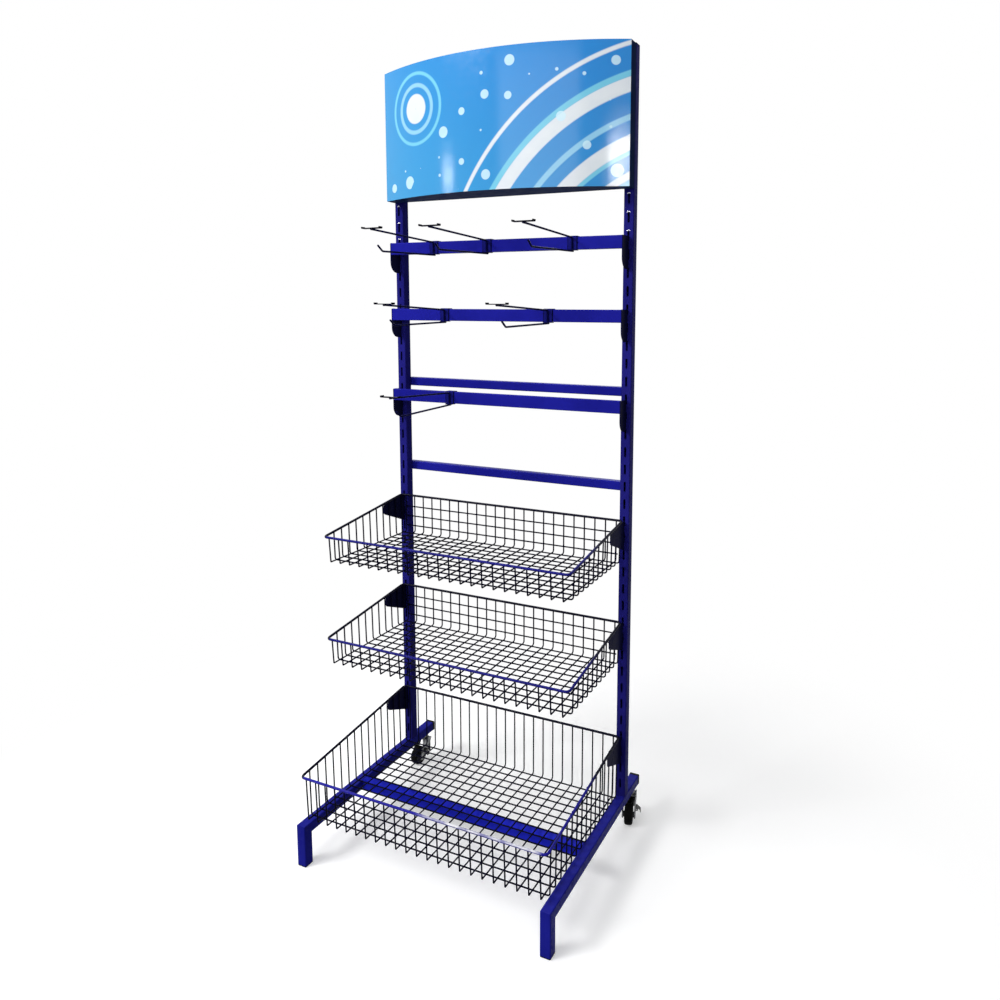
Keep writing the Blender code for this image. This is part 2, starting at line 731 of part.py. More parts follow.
# Swivel castors, turned as they stand, with a brake lever beside each fork
def build_castors():
    swivel_y = FACE_Y + SWIVEL_BEHIND
    axle_y = swivel_y + TRAIL
    axle_z = WHEEL / 2.0
    under = CASTOR_HEIGHT - GAP
    head_low = under - HEAD_HEIGHT
    crown_top = head_low - GAP
    crown_low = crown_top - FORK_SHEET
    pin_y = axle_y - PEDAL_BEFORE_AXLE
    pin_z = axle_z + PEDAL_ABOVE_AXLE
    outer = FORK_GAP / 2.0 + FORK_SHEET
    for label, side in SIDES.items():
        x = side * HALF
        pin_x = x - outer - GAP - PEDAL_BARREL / 2.0

        # Stem, bearing head and kingpin
        keep = crown_low - GAP
        profile = [
            (0.0, under + STEM_RISE),
            (STEM / 2.0, under + STEM_RISE),
            (STEM / 2.0, under),
            (HEAD / 2.0, under),
            (HEAD / 2.0, head_low),
            (KINGPIN / 2.0, head_low),
            (KINGPIN / 2.0, keep),
            (KINGPIN_HEAD / 2.0, keep),
            (KINGPIN_HEAD / 2.0, keep - FORK_SHEET),
            (0.0, keep - FORK_SHEET),
        ]
        place("castor_mount_" + label, turned(profile, "Z", x, swivel_y, 16, False), ZINC)

        # Fork with its axle, and ears that hold the lever's pin
        swivel = pivot("castor_swivel_" + label, (x, swivel_y, crown_top))
        swivel[0].rotation_euler.z = CASTOR_TURNS[label]
        crown = bmesh.new()
        span = HEAD / 2.0
        trim = FORK_SHEET * 0.4
        low = (x - outer + trim, swivel_y - span + trim, crown_low)
        high = (x + outer - trim, swivel_y + span - trim, crown_top)
        box(crown, low, high)
        hole = bmesh.new()
        outline = circle(x, swivel_y, KINGPIN / 2.0 + GAP, 16)
        prism(hole, outline, "Z", crown_low - FORK_SHEET, crown_top + FORK_SHEET)
        fork = combine(crown, hole, "DIFFERENCE")
        edge = [(swivel_y - span, crown_top - trim), (swivel_y + span, crown_top - trim)]
        edge += [(swivel_y - span, crown_low - trim)]
        edge += circle(axle_y, axle_z, AXLE, 12)
        ear_reach = PEDAL_SPAN / 2.0 + FORK_SHEET
        edge += [(pin_y - ear_reach, pin_z), (pin_y + ear_reach, pin_z)]
        arms = bmesh.new()
        for end in (-1.0, 1.0):
            inner_x = x + end * FORK_GAP / 2.0
            prism(arms, hull(edge), "X", inner_x, inner_x + end * FORK_SHEET)
        fork = combine(fork, arms, "UNION")
        ears = bmesh.new()
        root_x = x - outer + FORK_SHEET / 2.0
        foot = PEDAL_EAR * 1.2
        ear = hull(circle(pin_x, pin_z, PEDAL_EAR, 12) + [(root_x, pin_z - foot), (root_x, pin_z + foot)])
        for end in (-1.0, 1.0):
            ear_y = pin_y + end * PEDAL_SPAN / 2.0
            prism(ears, ear, "Y", ear_y - FORK_SHEET / 2.0, ear_y + FORK_SHEET / 2.0)
        fork = combine(fork, ears, "UNION")
        pins = bmesh.new()
        reach = outer + FORK_SHEET * 0.4
        prism(pins, circle(axle_y, axle_z, AXLE / 2.0, 12), "X", x - reach, x + reach)
        reach = PEDAL_SPAN / 2.0 + FORK_SHEET * 0.2
        prism(pins, circle(pin_x, pin_z, PEDAL_PIN / 2.0, 12), "Y", pin_y - reach, pin_y + reach)
        fork = combine(fork, pins, "UNION")
        place("castor_fork_" + label, fork, ZINC, swivel)

        # Wheel
        spin = pivot("wheel_spin_" + label, (x, axle_y, axle_z), swivel)
        bore = AXLE / 2.0 + GAP
        boss = HUB_BOSS / 2.0
        rim = WHEEL / 2.0 - TYRE
        h = HUB_WIDTH / 2.0
        w = WHEEL_WIDTH / 2.0 - FORK_SHEET
        profile = [
            (bore, x - h),
            (boss, x - h),
            (boss, x - w),
            (rim, x - w),
            (rim, x + w),
            (boss, x + w),
            (boss, x + h),
            (bore, x + h),
        ]
        place("wheel_hub_" + label, turned(profile, "X", axle_y, axle_z, 20, True), GREY, spin)
        inner = rim + GAP
        tread = WHEEL / 2.0
        w = WHEEL_WIDTH / 2.0
        profile = [
            (inner, x - w + FORK_SHEET),
            (tread - TYRE * 0.5, x - w),
            (tread, x - w * 0.55),
            (tread, x + w * 0.55),
            (tread - TYRE * 0.5, x + w),
            (inner, x + w - FORK_SHEET),
        ]
        place("wheel_tyre_" + label, turned(profile, "X", axle_y, axle_z, 20, True), BLACK, spin)

        # Brake lever on its pin
        hinge = pivot("pedal_hinge_" + label, (pin_x, pin_y, pin_z), swivel)
        half = PEDAL_SPAN / 2.0 - FORK_SHEET / 2.0 - GAP
        bore = PEDAL_PIN / 2.0 + GAP
        round_r = PEDAL_BARREL / 2.0
        profile = [
            (bore, pin_y - half),
            (round_r, pin_y - half),
            (round_r, pin_y + half),
            (bore, pin_y + half),
        ]
        pedal = turned(profile, "Y", pin_x, pin_z, 12, True)
        strap = bmesh.new()
        outline = lever_outline(pin_x, pin_z, (bore + round_r) / 2.0)
        prism(strap, outline, "Y", pin_y - PEDAL_WIDTH / 2.0, pin_y + PEDAL_WIDTH / 2.0)
        pedal = combine(pedal, strap, "UNION")
        place("brake_pedal_" + label, pedal, ZINC, hinge)


# Build everything
reset()
build_uprights()
build_base()
build_header()
build_bars()
build_baskets()
build_castors()
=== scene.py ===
# Looks for the wire display rack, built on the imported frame. Metres, +Z up, front faces -Y.
import math

import bmesh
import bpy
from mathutils import Matrix, Vector, noise


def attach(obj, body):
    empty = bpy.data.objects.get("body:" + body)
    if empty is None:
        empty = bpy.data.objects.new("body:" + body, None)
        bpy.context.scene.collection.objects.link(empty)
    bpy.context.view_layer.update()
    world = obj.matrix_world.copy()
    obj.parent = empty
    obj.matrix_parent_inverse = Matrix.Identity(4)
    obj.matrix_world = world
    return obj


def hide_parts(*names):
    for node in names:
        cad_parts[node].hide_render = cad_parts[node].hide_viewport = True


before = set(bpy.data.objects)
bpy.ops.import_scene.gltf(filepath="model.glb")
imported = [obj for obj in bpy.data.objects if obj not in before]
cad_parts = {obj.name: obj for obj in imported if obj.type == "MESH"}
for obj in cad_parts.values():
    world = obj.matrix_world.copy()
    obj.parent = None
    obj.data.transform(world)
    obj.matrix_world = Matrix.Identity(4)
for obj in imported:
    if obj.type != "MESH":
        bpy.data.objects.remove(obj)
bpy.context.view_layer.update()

# Frame tubes; like most sizes here, these are shared with the solids
GAP = 0.0003
SIDES = {"left": -1.0, "right": 1.0}
TUBE = 0.025
WALL = 0.0015
CORNER = 0.0028
LEAST_CORNER = 0.0006
HALF = 0.320
TOP = 1.904
LEG_TOP = 0.102
LEG_MIDDLE = LEG_TOP - TUBE / 2
LEG_FRONT = -0.2675
LEG_REAR = 0.2675
FOOT_Y = LEG_FRONT + TUBE / 2
FACE = 0.1575
UPRIGHT_Y = FACE + TUBE / 2
BEHIND = FACE + TUBE
SEAT = FACE - GAP
CROSSBAR_Y = FACE - 0.191 - TUBE / 2
CROSSBAR_HALF = HALF - TUBE / 2
RAIL = 0.022
RAIL_TOPS = {"upper": 1.128, "lower": 0.8976}

# Plastic stoppers, and the thin sleeves of the leg caps
PLUG = 0.003
PLUG_WIDTH = TUBE - 0.0002
PLUG_EDGE = 0.0011
GLIDE_EDGE = 0.0009
CAP_WALL = 0.0008
CAP_WIDTH = TUBE + CAP_WALL
CAP_SLEEVE = 0.009
CAP_SHORT = 0.001
CAP_EDGE = 0.0002

# Slots and their raised lips, of which the top few carry painted glints in bare metal
FIRST_SLOT = 0.148
SLOTS = 35
SLOT_PITCH = 0.042
SLOT_LENGTH = 0.024
SLOT_WIDTH = 0.0055
SLOT_END = SLOT_WIDTH * 0.48
SLOT_CUT = (FACE - 0.002, FACE + 0.004)
SLOT_LIP = 0.0022
LIP_Y = FACE - 0.00025 + SLOT_LIP / 2
LIP_ROUND = (SLOT_WIDTH + SLOT_LIP) / 2 + GAP
LIP_TURNS = [math.radians(25.0 + 130.0 * s / 10) for s in range(11)]
GLINT_LIPS = 3

# Weld beads
BEAD = 0.0016
BAR_BEAD = 0.0014
HOOK_BEAD = 0.0012
BEAD_STEP = 0.0016
BEAD_WAVE = (0.85, 0.35, 700.0)
BEAD_INSET = 0.001
RAIL_BEAD_RUN = 0.010
RAIL_BEAD_EDGE = 0.0004
RAIL_BEAD_END = 0.002

# Header
HEADER_TOP = 1.901
HEADER_LOW = 1.586
HEADER_HALF = HALF + TUBE / 2
HEADER_EDGE = FACE - 0.032
HEADER_SHEET = 0.003
HEADER_STEPS = 72
BULGE = 0.074
TRAY_SHEET = 0.0015
TRAY_CUT = HEADER_EDGE - 0.1

# Hanging plates and their lugs
PLATE = 0.0025
PLATE_HEIGHT = 0.075
SHEET_EDGE = 0.0003
LUG_FRONT = FACE + WALL + GAP
LUG_REAR = LUG_FRONT + 0.003
LUG_HANG = 0.008
LUG_RISE = 0.010

# Hook bars by slot, with the places of their hooks
BARS = {"top": 32, "middle": 28, "bottom": 23}
HOOKS = {"top": (-0.186, -0.032, 0.1965), "middle": (-0.156, 0.134), "bottom": (-0.144,)}
BAR_FRONT = FACE - 0.038
BAR_H = 0.030
BAR_D = 0.015
BAR_WALL = 0.0012
BAR_CORNER = 0.0016
BAR_BELOW_SLOT_TOP = 0.0125
BAR_HALF = HALF - PLATE / 2
BAR_PLATE_ROUNDS = (0.0015, 0.002, 0.026, 0.0015)

# Clips, prongs, label arms and strips
CLIP_HALF = 0.023 / 2
CLIP_SHEET = 0.0015
CLIP_BEND = 0.0012
CLIP_LIP = 0.012
CLIP_LEDGE = 0.009
CLIP_HEM_SHADE = 0.0020
TOE = 0.008
TOE_WIDTH = 0.021
TOE_LAP = 0.001
TOE_CORNER = 0.003
PRONG = 0.0045
PRONG_SUNK = PRONG * 0.3
PRONG_REACH = 0.207
PRONG_DIP = 0.006
PRONG_BEND = 0.010
PRONG_TIP = (-0.018, 0.013)
ARM_STAND = PRONG * 0.45
ARM_FOOT = 0.003
ARM_REACH = 0.250
ARM_RISE = 0.011
ARM_BENDS = (0.0, 0.004, 0.008, 0.0)
ARM_SEAM = PRONG * 0.35
ARM_SEAM_LOW = 0.002
ARM_SEAM_HIGH = 0.006
TOE_SEAM = PRONG * 0.42
TOE_SEAM_RUN = 0.9 * TOE
STRIP_HALF = 0.050 / 2
STRIP_DEPTH = 0.012
STRIP_AHEAD = STRIP_DEPTH * 0.1
STRIP_SHEET = 0.0021
STRIP_LIP = 0.0045
STRIP_BEND = 0.0010

# Baskets: slot, rise of the floor to the front, front and back heights, depth, rows along the back
BASKETS = {
    "upper": (16, 0.0, 0.060, 0.100, 0.304, 3),
    "middle": (10, 0.0, 0.060, 0.100, 0.304, 3),
    "lower": (3, 0.008, 0.1035, 0.1565, 0.405, 0),
}
BASKET_BACK = FACE - 0.012
RIM = 0.006
RIM_CORNER = 0.010
RIM_BELOW_SLOT_TOP = 0.0085
RIM_SEAT = RIM / 2 + GAP
WIRE = 0.003
WIRE_COATED = 0.0035
WIRE_PITCH = 0.0277
CROSS_PITCH = 0.0268
FIRST_CROSS = 0.005
WELD_HALF = HALF - PLATE / 2 - GAP - WIRE / 2
SIDE_HALF = WELD_HALF - 0.002
SIDE_BEND = 0.006
FRONT_TAPER = 0.004
FRONT_BEND = 0.002
BACK_BEND = 0.006
FIRST_ROW = 0.031
ROW_PITCH = 0.0263
BASKET_PLATE_FRONT = FACE - 0.089
BASKET_PLATE_TIP = 0.028
BASKET_PLATE_ROUNDS = (0.0008, 0.004, 0.003, 0.008, 0.0012)

# Castors, with the way each stands turned
TURNS = {"left": math.radians(174.0), "right": math.radians(195.0)}
SWIVEL_Y = FACE + 0.073
AXLE_Y = SWIVEL_Y + 0.024
AXLE_Z = 0.025
CASTOR_TOP = 0.077
HEAD_LOW = CASTOR_TOP - GAP - 0.007
CROWN = HEAD_LOW - GAP
FORK_HALF = 0.014
FORK_SHEET = 0.002
FORK_OUT = FORK_HALF + FORK_SHEET
FORK_BACK = SWIVEL_Y - 0.0125
FORK_FRONT = SWIVEL_Y + 0.0125
FORK_BELOW_CROWN = 0.0006
FORK_SHOULDER = 0.004
FORK_ROUND = 0.008
FORK_EDGE = 0.0006
FORK_ROLL = 0.0036
ROLL_SUNK = 0.0003
WEB_LOW = 0.025
WEB_BELOW_CROWN = 0.001
WEB_HALF = FORK_HALF + 0.0004
CROWN_WIDTH = 2 * FORK_OUT - 0.0004
CROWN_DEPTH = 0.0246
CROWN_CORNER = 0.003
CROWN_EDGE = 0.0005

# Brake levers
LEVER_Y = AXLE_Y - 0.008
LEVER_Z = AXLE_Z + 0.015
LEVER_BORE = 0.0018
LEVER_BARREL = 0.004
LEVER_OUT = FORK_OUT + GAP + LEVER_BARREL
LEVER_SPAN = 0.015
LEVER_WIDTH = 0.010
LEVER_CURVE = 0.0092
LEVER_BEND = LEVER_CURVE * 0.98
LEVER_TAIL = 0.003
LEVER_EDGE = 0.0005
EAR = 0.0038
EAR_FOOT = EAR * 1.2
EAR_EDGE = 0.0004

# Turned castor head: radius, with depth below the leg, height over the head's foot or depth below the crown
HEAD_UPPER = (
    (0.0, -0.002), (0.005, -0.002), (0.005, 0.0), (0.0118, 0.0), (0.0125, 0.0008),
    (0.0125, 0.0026), (0.0112, 0.0034), (0.0112, 0.0040), (0.0125, 0.0048),
)
HEAD_FOOT = ((0.0125, 0.0006), (0.0118, 0.0), (0.004, 0.0))
KINGPIN = ((0.004, 0.0023), (0.0065, 0.0023), (0.0060, 0.0040), (0.0, 0.0046))

# Rivet heads: radius and height over the sheet
AXLE_HEAD = (
    (0.0, -0.006), (0.004, -0.006), (0.004, 0.0), (0.0046, 0.0),
    (0.0046, 0.0005), (0.0034, 0.0008), (0.0, 0.0008),
)
PIN_HEAD = (
    (0.0, -0.006), (0.0015, -0.006), (0.0015, 0.0), (0.0021, 0.0),
    (0.0021, 0.0004), (0.0014, 0.0008), (0.0, 0.0008),
)

# Wheel sections: radius and distance from the wheel's middle
HUB_HALF = 0.0136
TYRE_HALF = 0.0105
FLANGE = TYRE_HALF - 0.0020
WEB = TYRE_HALF - 0.0041
HUB_SECTION = [
    (0.0043, HUB_HALF), (0.0066, HUB_HALF), (0.0070, HUB_HALF - 0.0004), (0.0076, FLANGE + 0.0004),
    (0.0110, WEB), (0.0150, WEB), (0.0160, FLANGE - 0.0006), (0.0178, FLANGE), (0.0180, FLANGE - 0.0005),
]
TYRE_SECTION = [(0.0183, TYRE_HALF - 0.0020), (0.0186, TYRE_HALF - 0.0004)]
TYRE_TURNS = [math.radians(90.0 * s / 9) for s in range(9)]
TYRE_SECTION += [
    (0.0190 + 0.0060 * math.sin(t) ** 0.8, TYRE_HALF * math.cos(t) ** 0.7) for t in TYRE_TURNS
]
TYRE_SECTION += [(0.0250, 0.0008)]
HUB_RIBS = 5
HUB_RIB = ((0.006, -0.0012), (0.0168, -0.0009), (0.0168, 0.0009), (0.006, 0.0012))
RIB_SUNK = 0.0002

# How finely round shapes are drawn, and the angle from which an edge stays sharp
WIRE_SIDES = 10
ROD_SIDES = 12
RIM_SIDES = 14
TIP_STEPS = 4
TIP_TURN = 86.0
LEAST_MITRE = 0.3
PLAIN_ANGLE = 32.0
PIN_ANGLE = 35.0
TURNED_ANGLE = 40.0
WIRE_ANGLE = 60.0
BEAD_ANGLE = 70.0

# Dust on the coats, raised on the legs as painted top light, and a bare-metal tone for a painted glint;
# painted shade darkens the rims to the rear and at their left end, and one rim carries the glint
DUST_AND_TOP_LIGHT = (0.42, 0.42, 0.44)
PAINTED_GLINT = (0.80, 0.80, 0.84)
RIM_PAINTED_SHADE = (0.002, 0.002, 0.014)
PAINTED_SHADE_REAR = (-0.07, 0.0)
PAINTED_SHADE_LEFT = (0.006 - HALF, 0.010 - HALF)
RIM_GLINT = (0.0, 0.31, -0.256)
GLINT_FADES = (0.06, 0.02, 0.001)

# Textures: noise scale and detail, then strength and depth of the relief that they raise
TONE, PATCH, GLOSS, PEEL = (7.0, 3.0), (38.0, 4.0), (55.0, 3.0), (420.0, 2.0)
TINT, GRAIN, GRAIN_STRETCH = (95.0, 3.0), (240.0, 4.0), (1.0, 1.0, 0.12)
SCUFF, SHEEN = (60.0, 5.0), (90.0, 3.0)
BLEED, FILM, RIPPLE = (30.0, 4.0), (80.0, 3.0), (260.0, 2.0)
PEEL_RELIEF, GRAIN_RELIEF = (0.12, 0.0004), (0.08, 0.0003)
MOULD_RELIEF, RIPPLE_RELIEF = (0.2, 0.0004), (0.1, 0.0004)

# Header print: tones, and rings as a centre with bands of inner radius, outer radius and tone
PALE, CYAN, WHITE = (0.28, 0.60, 0.82), (0.17, 0.58, 0.77), (0.74, 0.79, 0.83)
PRINT_LEFT, PRINT_RIGHT = (0.034, 0.315, 0.65), (0.008, 0.225, 0.63)
PRINT_INK = (0.05, 0.2, 0.5)
PRINT_DOT = (0.62, 0.86, 0.95)
PRINT_ASPECT = 2.15
PRINT_SLOPE = (0.7, 0.5, 1.15)
PRINT_SOFT = 0.006
SMALL_RING = (0.42, 0.66)
PRINT_RINGS = {
    (2.75, -1.05): (
        (1.16, 1.25, PALE), (1.25, 1.30, WHITE), (1.40, 1.43, CYAN), (1.43, 1.53, WHITE),
        (1.62, 1.66, PALE), (1.80, 1.90, WHITE), (1.90, 1.94, CYAN), (2.10, 2.13, WHITE),
    ),
    SMALL_RING: ((0.0, 0.11, WHITE), (0.16, 0.19, PALE), (0.25, 0.275, CYAN)),
}
DOT_SCALE = 5.2
DOT_SCATTER = 0.75
DOT_SIZES = (0.45, 1.0, -0.05, 0.26)
DOT_EDGE = (-0.01, 0.02, 0.0, 0.8)
DOTS_OFF_RING = (0.33, 0.34)
DOTS_OFF_TOP = (0.90, 0.91)

# Soft boxes: place, aim, width, height, power
LAMPS = {
    "key": ((-2.7, -3.1, 3.9), (0.0, 0.0, 0.9), 1.7, 1.0, 175.0),
    "front": ((-0.3, -3.4, 2.2), (0.0, 0.0, 1.0), 2.2, 1.6, 24.0),
    "top": ((-0.3, -0.3, 3.8), (0.0, 0.0, 0.9), 2.0, 1.6, 52.0),
    "rear": ((-0.3, 3.0, 2.4), (0.0, 0.0, 0.9), 1.8, 1.4, 22.0),
    "window": ((-2.0, -1.65, 2.05), (-0.1, 0.06, 1.64), 0.22, 0.16, 1.9),
    "flash": ((1.39, -2.09, 2.10), (0.31, 0.12, 1.64), 0.40, 0.26, 8.0),
}

# World, floor and camera
SKY = 0.15
SKY_TINT = (0.96, 0.97, 1.0)
FULL_WHITE = (1.0, 1.0, 1.0)
FLOOR = ((-9, -7), (9, -7), (9, 11), (-9, 11))
FLOOR_Z = -0.0004
FLOOR_PALE = 0.80
FLOOR_DULL = 0.35
FLOOR_GLOW = 0.34
FLOOR_FADE = (0.75, 1.5)
LENS = 28.30598
LENS_SHIFT = (-0.0712924, -0.0933046)
LENS_RANGE = (0.05, 60.0)
SENSOR = 36.0
YAW, PITCH, ROLL = 0.42363, -0.118524, 0.006752
EYE = (0.95959, -1.730951 + FACE, 1.303156)


# Node helpers for a material or the world
class Nodes:
    def __init__(self, owner):
        owner.use_nodes = True
        self.material = owner
        self.tree = owner.node_tree
        self.shader = self.tree.nodes.get("Principled BSDF")

    def add(self, kind, **values):
        node = self.tree.nodes.new(kind)
        for key, value in values.items():
            setattr(node, key, value)
        return node

    def link(self, source, target):
        self.tree.links.new(source, target)

    # A number or colour is set on the socket, an output is linked to it
    def feed(self, socket, value):
        if isinstance(value, (int, float)):
            socket.default_value = value
        elif isinstance(value, tuple):
            socket.default_value = (*value, 1.0)
        else:
            self.link(value, socket)

    def put(self, socket, value):
        self.feed(self.shader.inputs[socket], value)

    # Outputs of a node whose inputs are fed in turn
    def join(self, kind, *sources, **values):
        node = self.add(kind, **values)
        for socket, source in zip(node.inputs, sources):
            self.feed(socket, source)
        return node.outputs

    def coords(self, kind="Object"):
        return self.add("ShaderNodeTexCoord").outputs[kind]

    def split(self, vector):
        return self.join("ShaderNodeSeparateXYZ", vector)

    # One number for the kinds of ray that are named
    def seen(self, *kinds):
        rays = self.add("ShaderNodeLightPath").outputs
        result = rays[kinds[0]]
        for kind in kinds[1:]:
            result = self.math("MAXIMUM", result, rays[kind])
        return result

    def noise(self, scale, detail, stretch=None):
        node = self.add("ShaderNodeTexNoise")
        node.inputs["Scale"].default_value = scale
        node.inputs["Detail"].default_value = detail
        source = self.coords()
        if stretch is not None:
            mapping = self.add("ShaderNodeMapping")
            mapping.inputs["Scale"].default_value = stretch
            self.link(source, mapping.inputs["Vector"])
            source = mapping.outputs["Vector"]
        self.link(source, node.inputs["Vector"])
        return node.outputs["Fac"]

    def remap(self, value, low, high, to_low, to_high, smooth=False):
        node = self.add("ShaderNodeMapRange")
        if smooth:
            node.interpolation_type = "SMOOTHSTEP"
        self.link(value, node.inputs["Value"])
        for socket, number in zip(("From Min", "From Max", "To Min", "To Max"), (low, high, to_low, to_high)):
            node.inputs[socket].default_value = number
        return node.outputs["Result"]

    def math(self, operation, a, b=0.0):
        return self.join("ShaderNodeMath", a, b, operation=operation)[0]

    def times(self, a, b):
        return self.math("MULTIPLY", a, b)

    def mix(self, factor, a, b):
        node = self.add("ShaderNodeMix", data_type="RGBA")
        for index, value in ((0, factor), (6, a), (7, b)):
            self.feed(node.inputs[index], value)
        return node.outputs[2]

    def bump(self, height, strength, distance):
        node = self.add("ShaderNodeBump")
        node.inputs["Strength"].default_value = strength
        node.inputs["Distance"].default_value = distance
        self.link(height, node.inputs["Height"])
        self.link(node.outputs["Normal"], self.shader.inputs["Normal"])


# Powder coat: slight orange peel, uneven tone and a thin dust on level faces, which where raised also paints
# top light. Painted shade takes over to the rear and at the left end, and a painted glint in bare-metal tone
# lies on top of a stretch
def powder_coat(name, colour, rough, specular, dust_and_top_light=0.012, painted_shade=None, painted_glint=None):
    n = Nodes(bpy.data.materials.new(name))
    pale = tuple(min(1.0, c * 1.14 + 0.001) for c in colour)
    deep = tuple(c * 0.86 for c in colour)
    coat = n.mix(n.remap(n.noise(*TONE), 0.35, 0.65, 0.0, 1.0), deep, pale)
    up = n.split(n.add("ShaderNodeNewGeometry").outputs["Normal"])["Z"]
    patch = n.remap(n.noise(*PATCH), 0.35, 0.75, 0.2, 1.0)
    # Level faces take on the dust tone; where the amount is raised it also paints top light
    coat = n.mix(n.times(n.remap(up, 0.75, 1.0, 0.0, dust_and_top_light), patch), coat, DUST_AND_TOP_LIGHT)
    place = n.split(n.coords())
    # Painted shade: the coat darkens towards the rear and at the left end, as where the rim falls in shade
    if painted_shade:
        rear = n.remap(place["Y"], *PAINTED_SHADE_REAR, 0.0, 1.0)
        left = n.remap(place["X"], *PAINTED_SHADE_LEFT, 1.0, 0.0)
        coat = n.mix(n.math("MAXIMUM", rear, left), coat, painted_shade)
    # Painted glint: a bright bare-metal-coloured stripe along the top of the rim stands in for a highlight
    if painted_glint:
        (start, end, edge), (rise, fall, behind) = painted_glint, GLINT_FADES
        along = n.remap(place["X"], start, start + rise, 0.0, 1.0)
        along = n.times(along, n.remap(place["X"], end - fall, end, 1.0, 0.0))
        along = n.times(along, n.remap(place["Y"], edge, edge + behind, 1.0, 0.0))
        glint = n.times(along, n.remap(up, 0.0, 0.3, 0.0, 1.4))
        coat = n.mix(n.times(glint, patch), coat, PAINTED_GLINT)
    n.put("Base Color", coat)
    n.put("Roughness", n.remap(n.noise(*GLOSS), 0.3, 0.7, rough * 0.8, rough * 1.25))
    n.put("Specular IOR Level", specular)
    n.bump(n.noise(*PEEL), *PEEL_RELIEF)
    return n.material


# Bright zinc plate with a faint grain and tint
def zinc_plate(name, rough, dull, clear):
    n = Nodes(bpy.data.materials.new(name))
    n.put("Base Color", n.mix(n.remap(n.noise(*TINT), 0.32, 0.68, 0.0, 1.0), dull, clear))
    n.put("Metallic", 1.0)
    grain = n.noise(*GRAIN, GRAIN_STRETCH)
    n.put("Roughness", n.remap(grain, 0.3, 0.7, rough * 0.7, rough * 1.4))
    n.bump(grain, *GRAIN_RELIEF)
    return n.material


# Moulded plastic or rubber with a fine grain and scuffs
def moulded(name, colour, rough, grain, scuff, specular):
    n = Nodes(bpy.data.materials.new(name))
    light = tuple(min(1.0, c * 3.0 + 0.01) for c in colour)
    n.put("Base Color", n.mix(n.remap(n.noise(*SCUFF), 0.52, 0.75, 0.0, scuff), colour, light))
    n.put("Roughness", n.remap(n.noise(*SHEEN), 0.3, 0.7, rough * 0.85, min(1.0, rough * 1.2)))
    n.put("Specular IOR Level", specular)
    n.bump(n.noise(grain, 2.0), *MOULD_RELIEF)
    return n.material


# Glossy printed sheet: sky gradient, sweeping arcs, a small ring, and dots clear of it and of the top
def printed(name):
    n = Nodes(bpy.data.materials.new(name))
    sheet = n.split(n.coords("UV"))
    across, up = n.times(sheet["X"], PRINT_ASPECT), sheet["Y"]
    level, steep, end = PRINT_SLOPE
    sky = n.math("ADD", n.times(sheet["X"], level), n.times(up, steep))
    colour = n.mix(n.remap(sky, 0.0, end, 0.0, 1.0, True), PRINT_LEFT, PRINT_RIGHT)

    def distance(centre, x, y):
        dx, dy = n.math("SUBTRACT", x, centre[0]), n.math("SUBTRACT", y, centre[1])
        return n.math("SQRT", n.math("ADD", n.times(dx, dx), n.times(dy, dy)))

    for centre, bands in PRINT_RINGS.items():
        away = distance(centre, across, up)
        for low, high, tone in bands:
            rise = n.remap(away, low - PRINT_SOFT, low + PRINT_SOFT, 0.0, 1.0, True)
            fall = n.remap(away, high - PRINT_SOFT, high + PRINT_SOFT, 1.0, 0.0, True)
            colour = n.mix(n.times(rise, fall), colour, tone)
    cells = n.add("ShaderNodeTexVoronoi", voronoi_dimensions="2D")
    cells.inputs["Scale"].default_value = DOT_SCALE
    cells.inputs["Randomness"].default_value = DOT_SCATTER
    n.link(n.join("ShaderNodeCombineXYZ", across, up)[0], cells.inputs["Vector"])
    chance = n.join("ShaderNodeSeparateColor", cells.outputs["Color"])["Red"]
    size = n.remap(chance, *DOT_SIZES)
    dot = n.remap(n.math("SUBTRACT", size, cells.outputs["Distance"]), *DOT_EDGE, True)
    middle = n.split(cells.outputs["Position"])
    apart = distance(SMALL_RING, middle["X"], middle["Y"])
    dot = n.times(dot, n.remap(apart, *DOTS_OFF_RING, 0.0, 1.0))
    dot = n.times(dot, n.remap(middle["Y"], *DOTS_OFF_TOP, 1.0, 0.0))
    colour = n.mix(dot, colour, PRINT_DOT)
    colour = n.mix(n.remap(n.noise(*BLEED), 0.3, 0.7, 0.0, 0.06), colour, PRINT_INK)
    n.put("Base Color", colour)
    n.put("Roughness", n.remap(n.noise(*FILM), 0.3, 0.7, 0.09, 0.16))
    n.put("Specular IOR Level", 0.35)
    n.bump(n.noise(*RIPPLE), *RIPPLE_RELIEF)
    return n.material


# One blue paint in lit and shaded copies: the uprights and clips are painted darker as if in shade, the
# crossbar lighter as if lit from above
BLUE = powder_coat("upright_coat", (0.0150, 0.0138, 0.185), 0.30, 0.006)
# The legs' dust is raised so that their level tops are painted lighter, as painted top light over real dust
LEG_BLUE = powder_coat("leg_coat", (0.0118, 0.0140, 0.275), 0.28, 0.012, 0.024)
CROSS_BLUE = powder_coat("crossbar_coat", (0.0150, 0.0230, 0.58), 0.28, 0.02)
BAR_BLUE = powder_coat("bar_coat", (0.0115, 0.0125, 0.28), 0.26, 0.016)
CLIP_BLUE = powder_coat("clip_coat", (0.0080, 0.0090, 0.15), 0.28, 0.012)
# Rim coats darken towards the rear and at the left end as painted shade
RIM_BLUE = powder_coat("rim_coat", (0.008, 0.0075, 0.17), 0.24, 0.05, 0.0, RIM_PAINTED_SHADE)
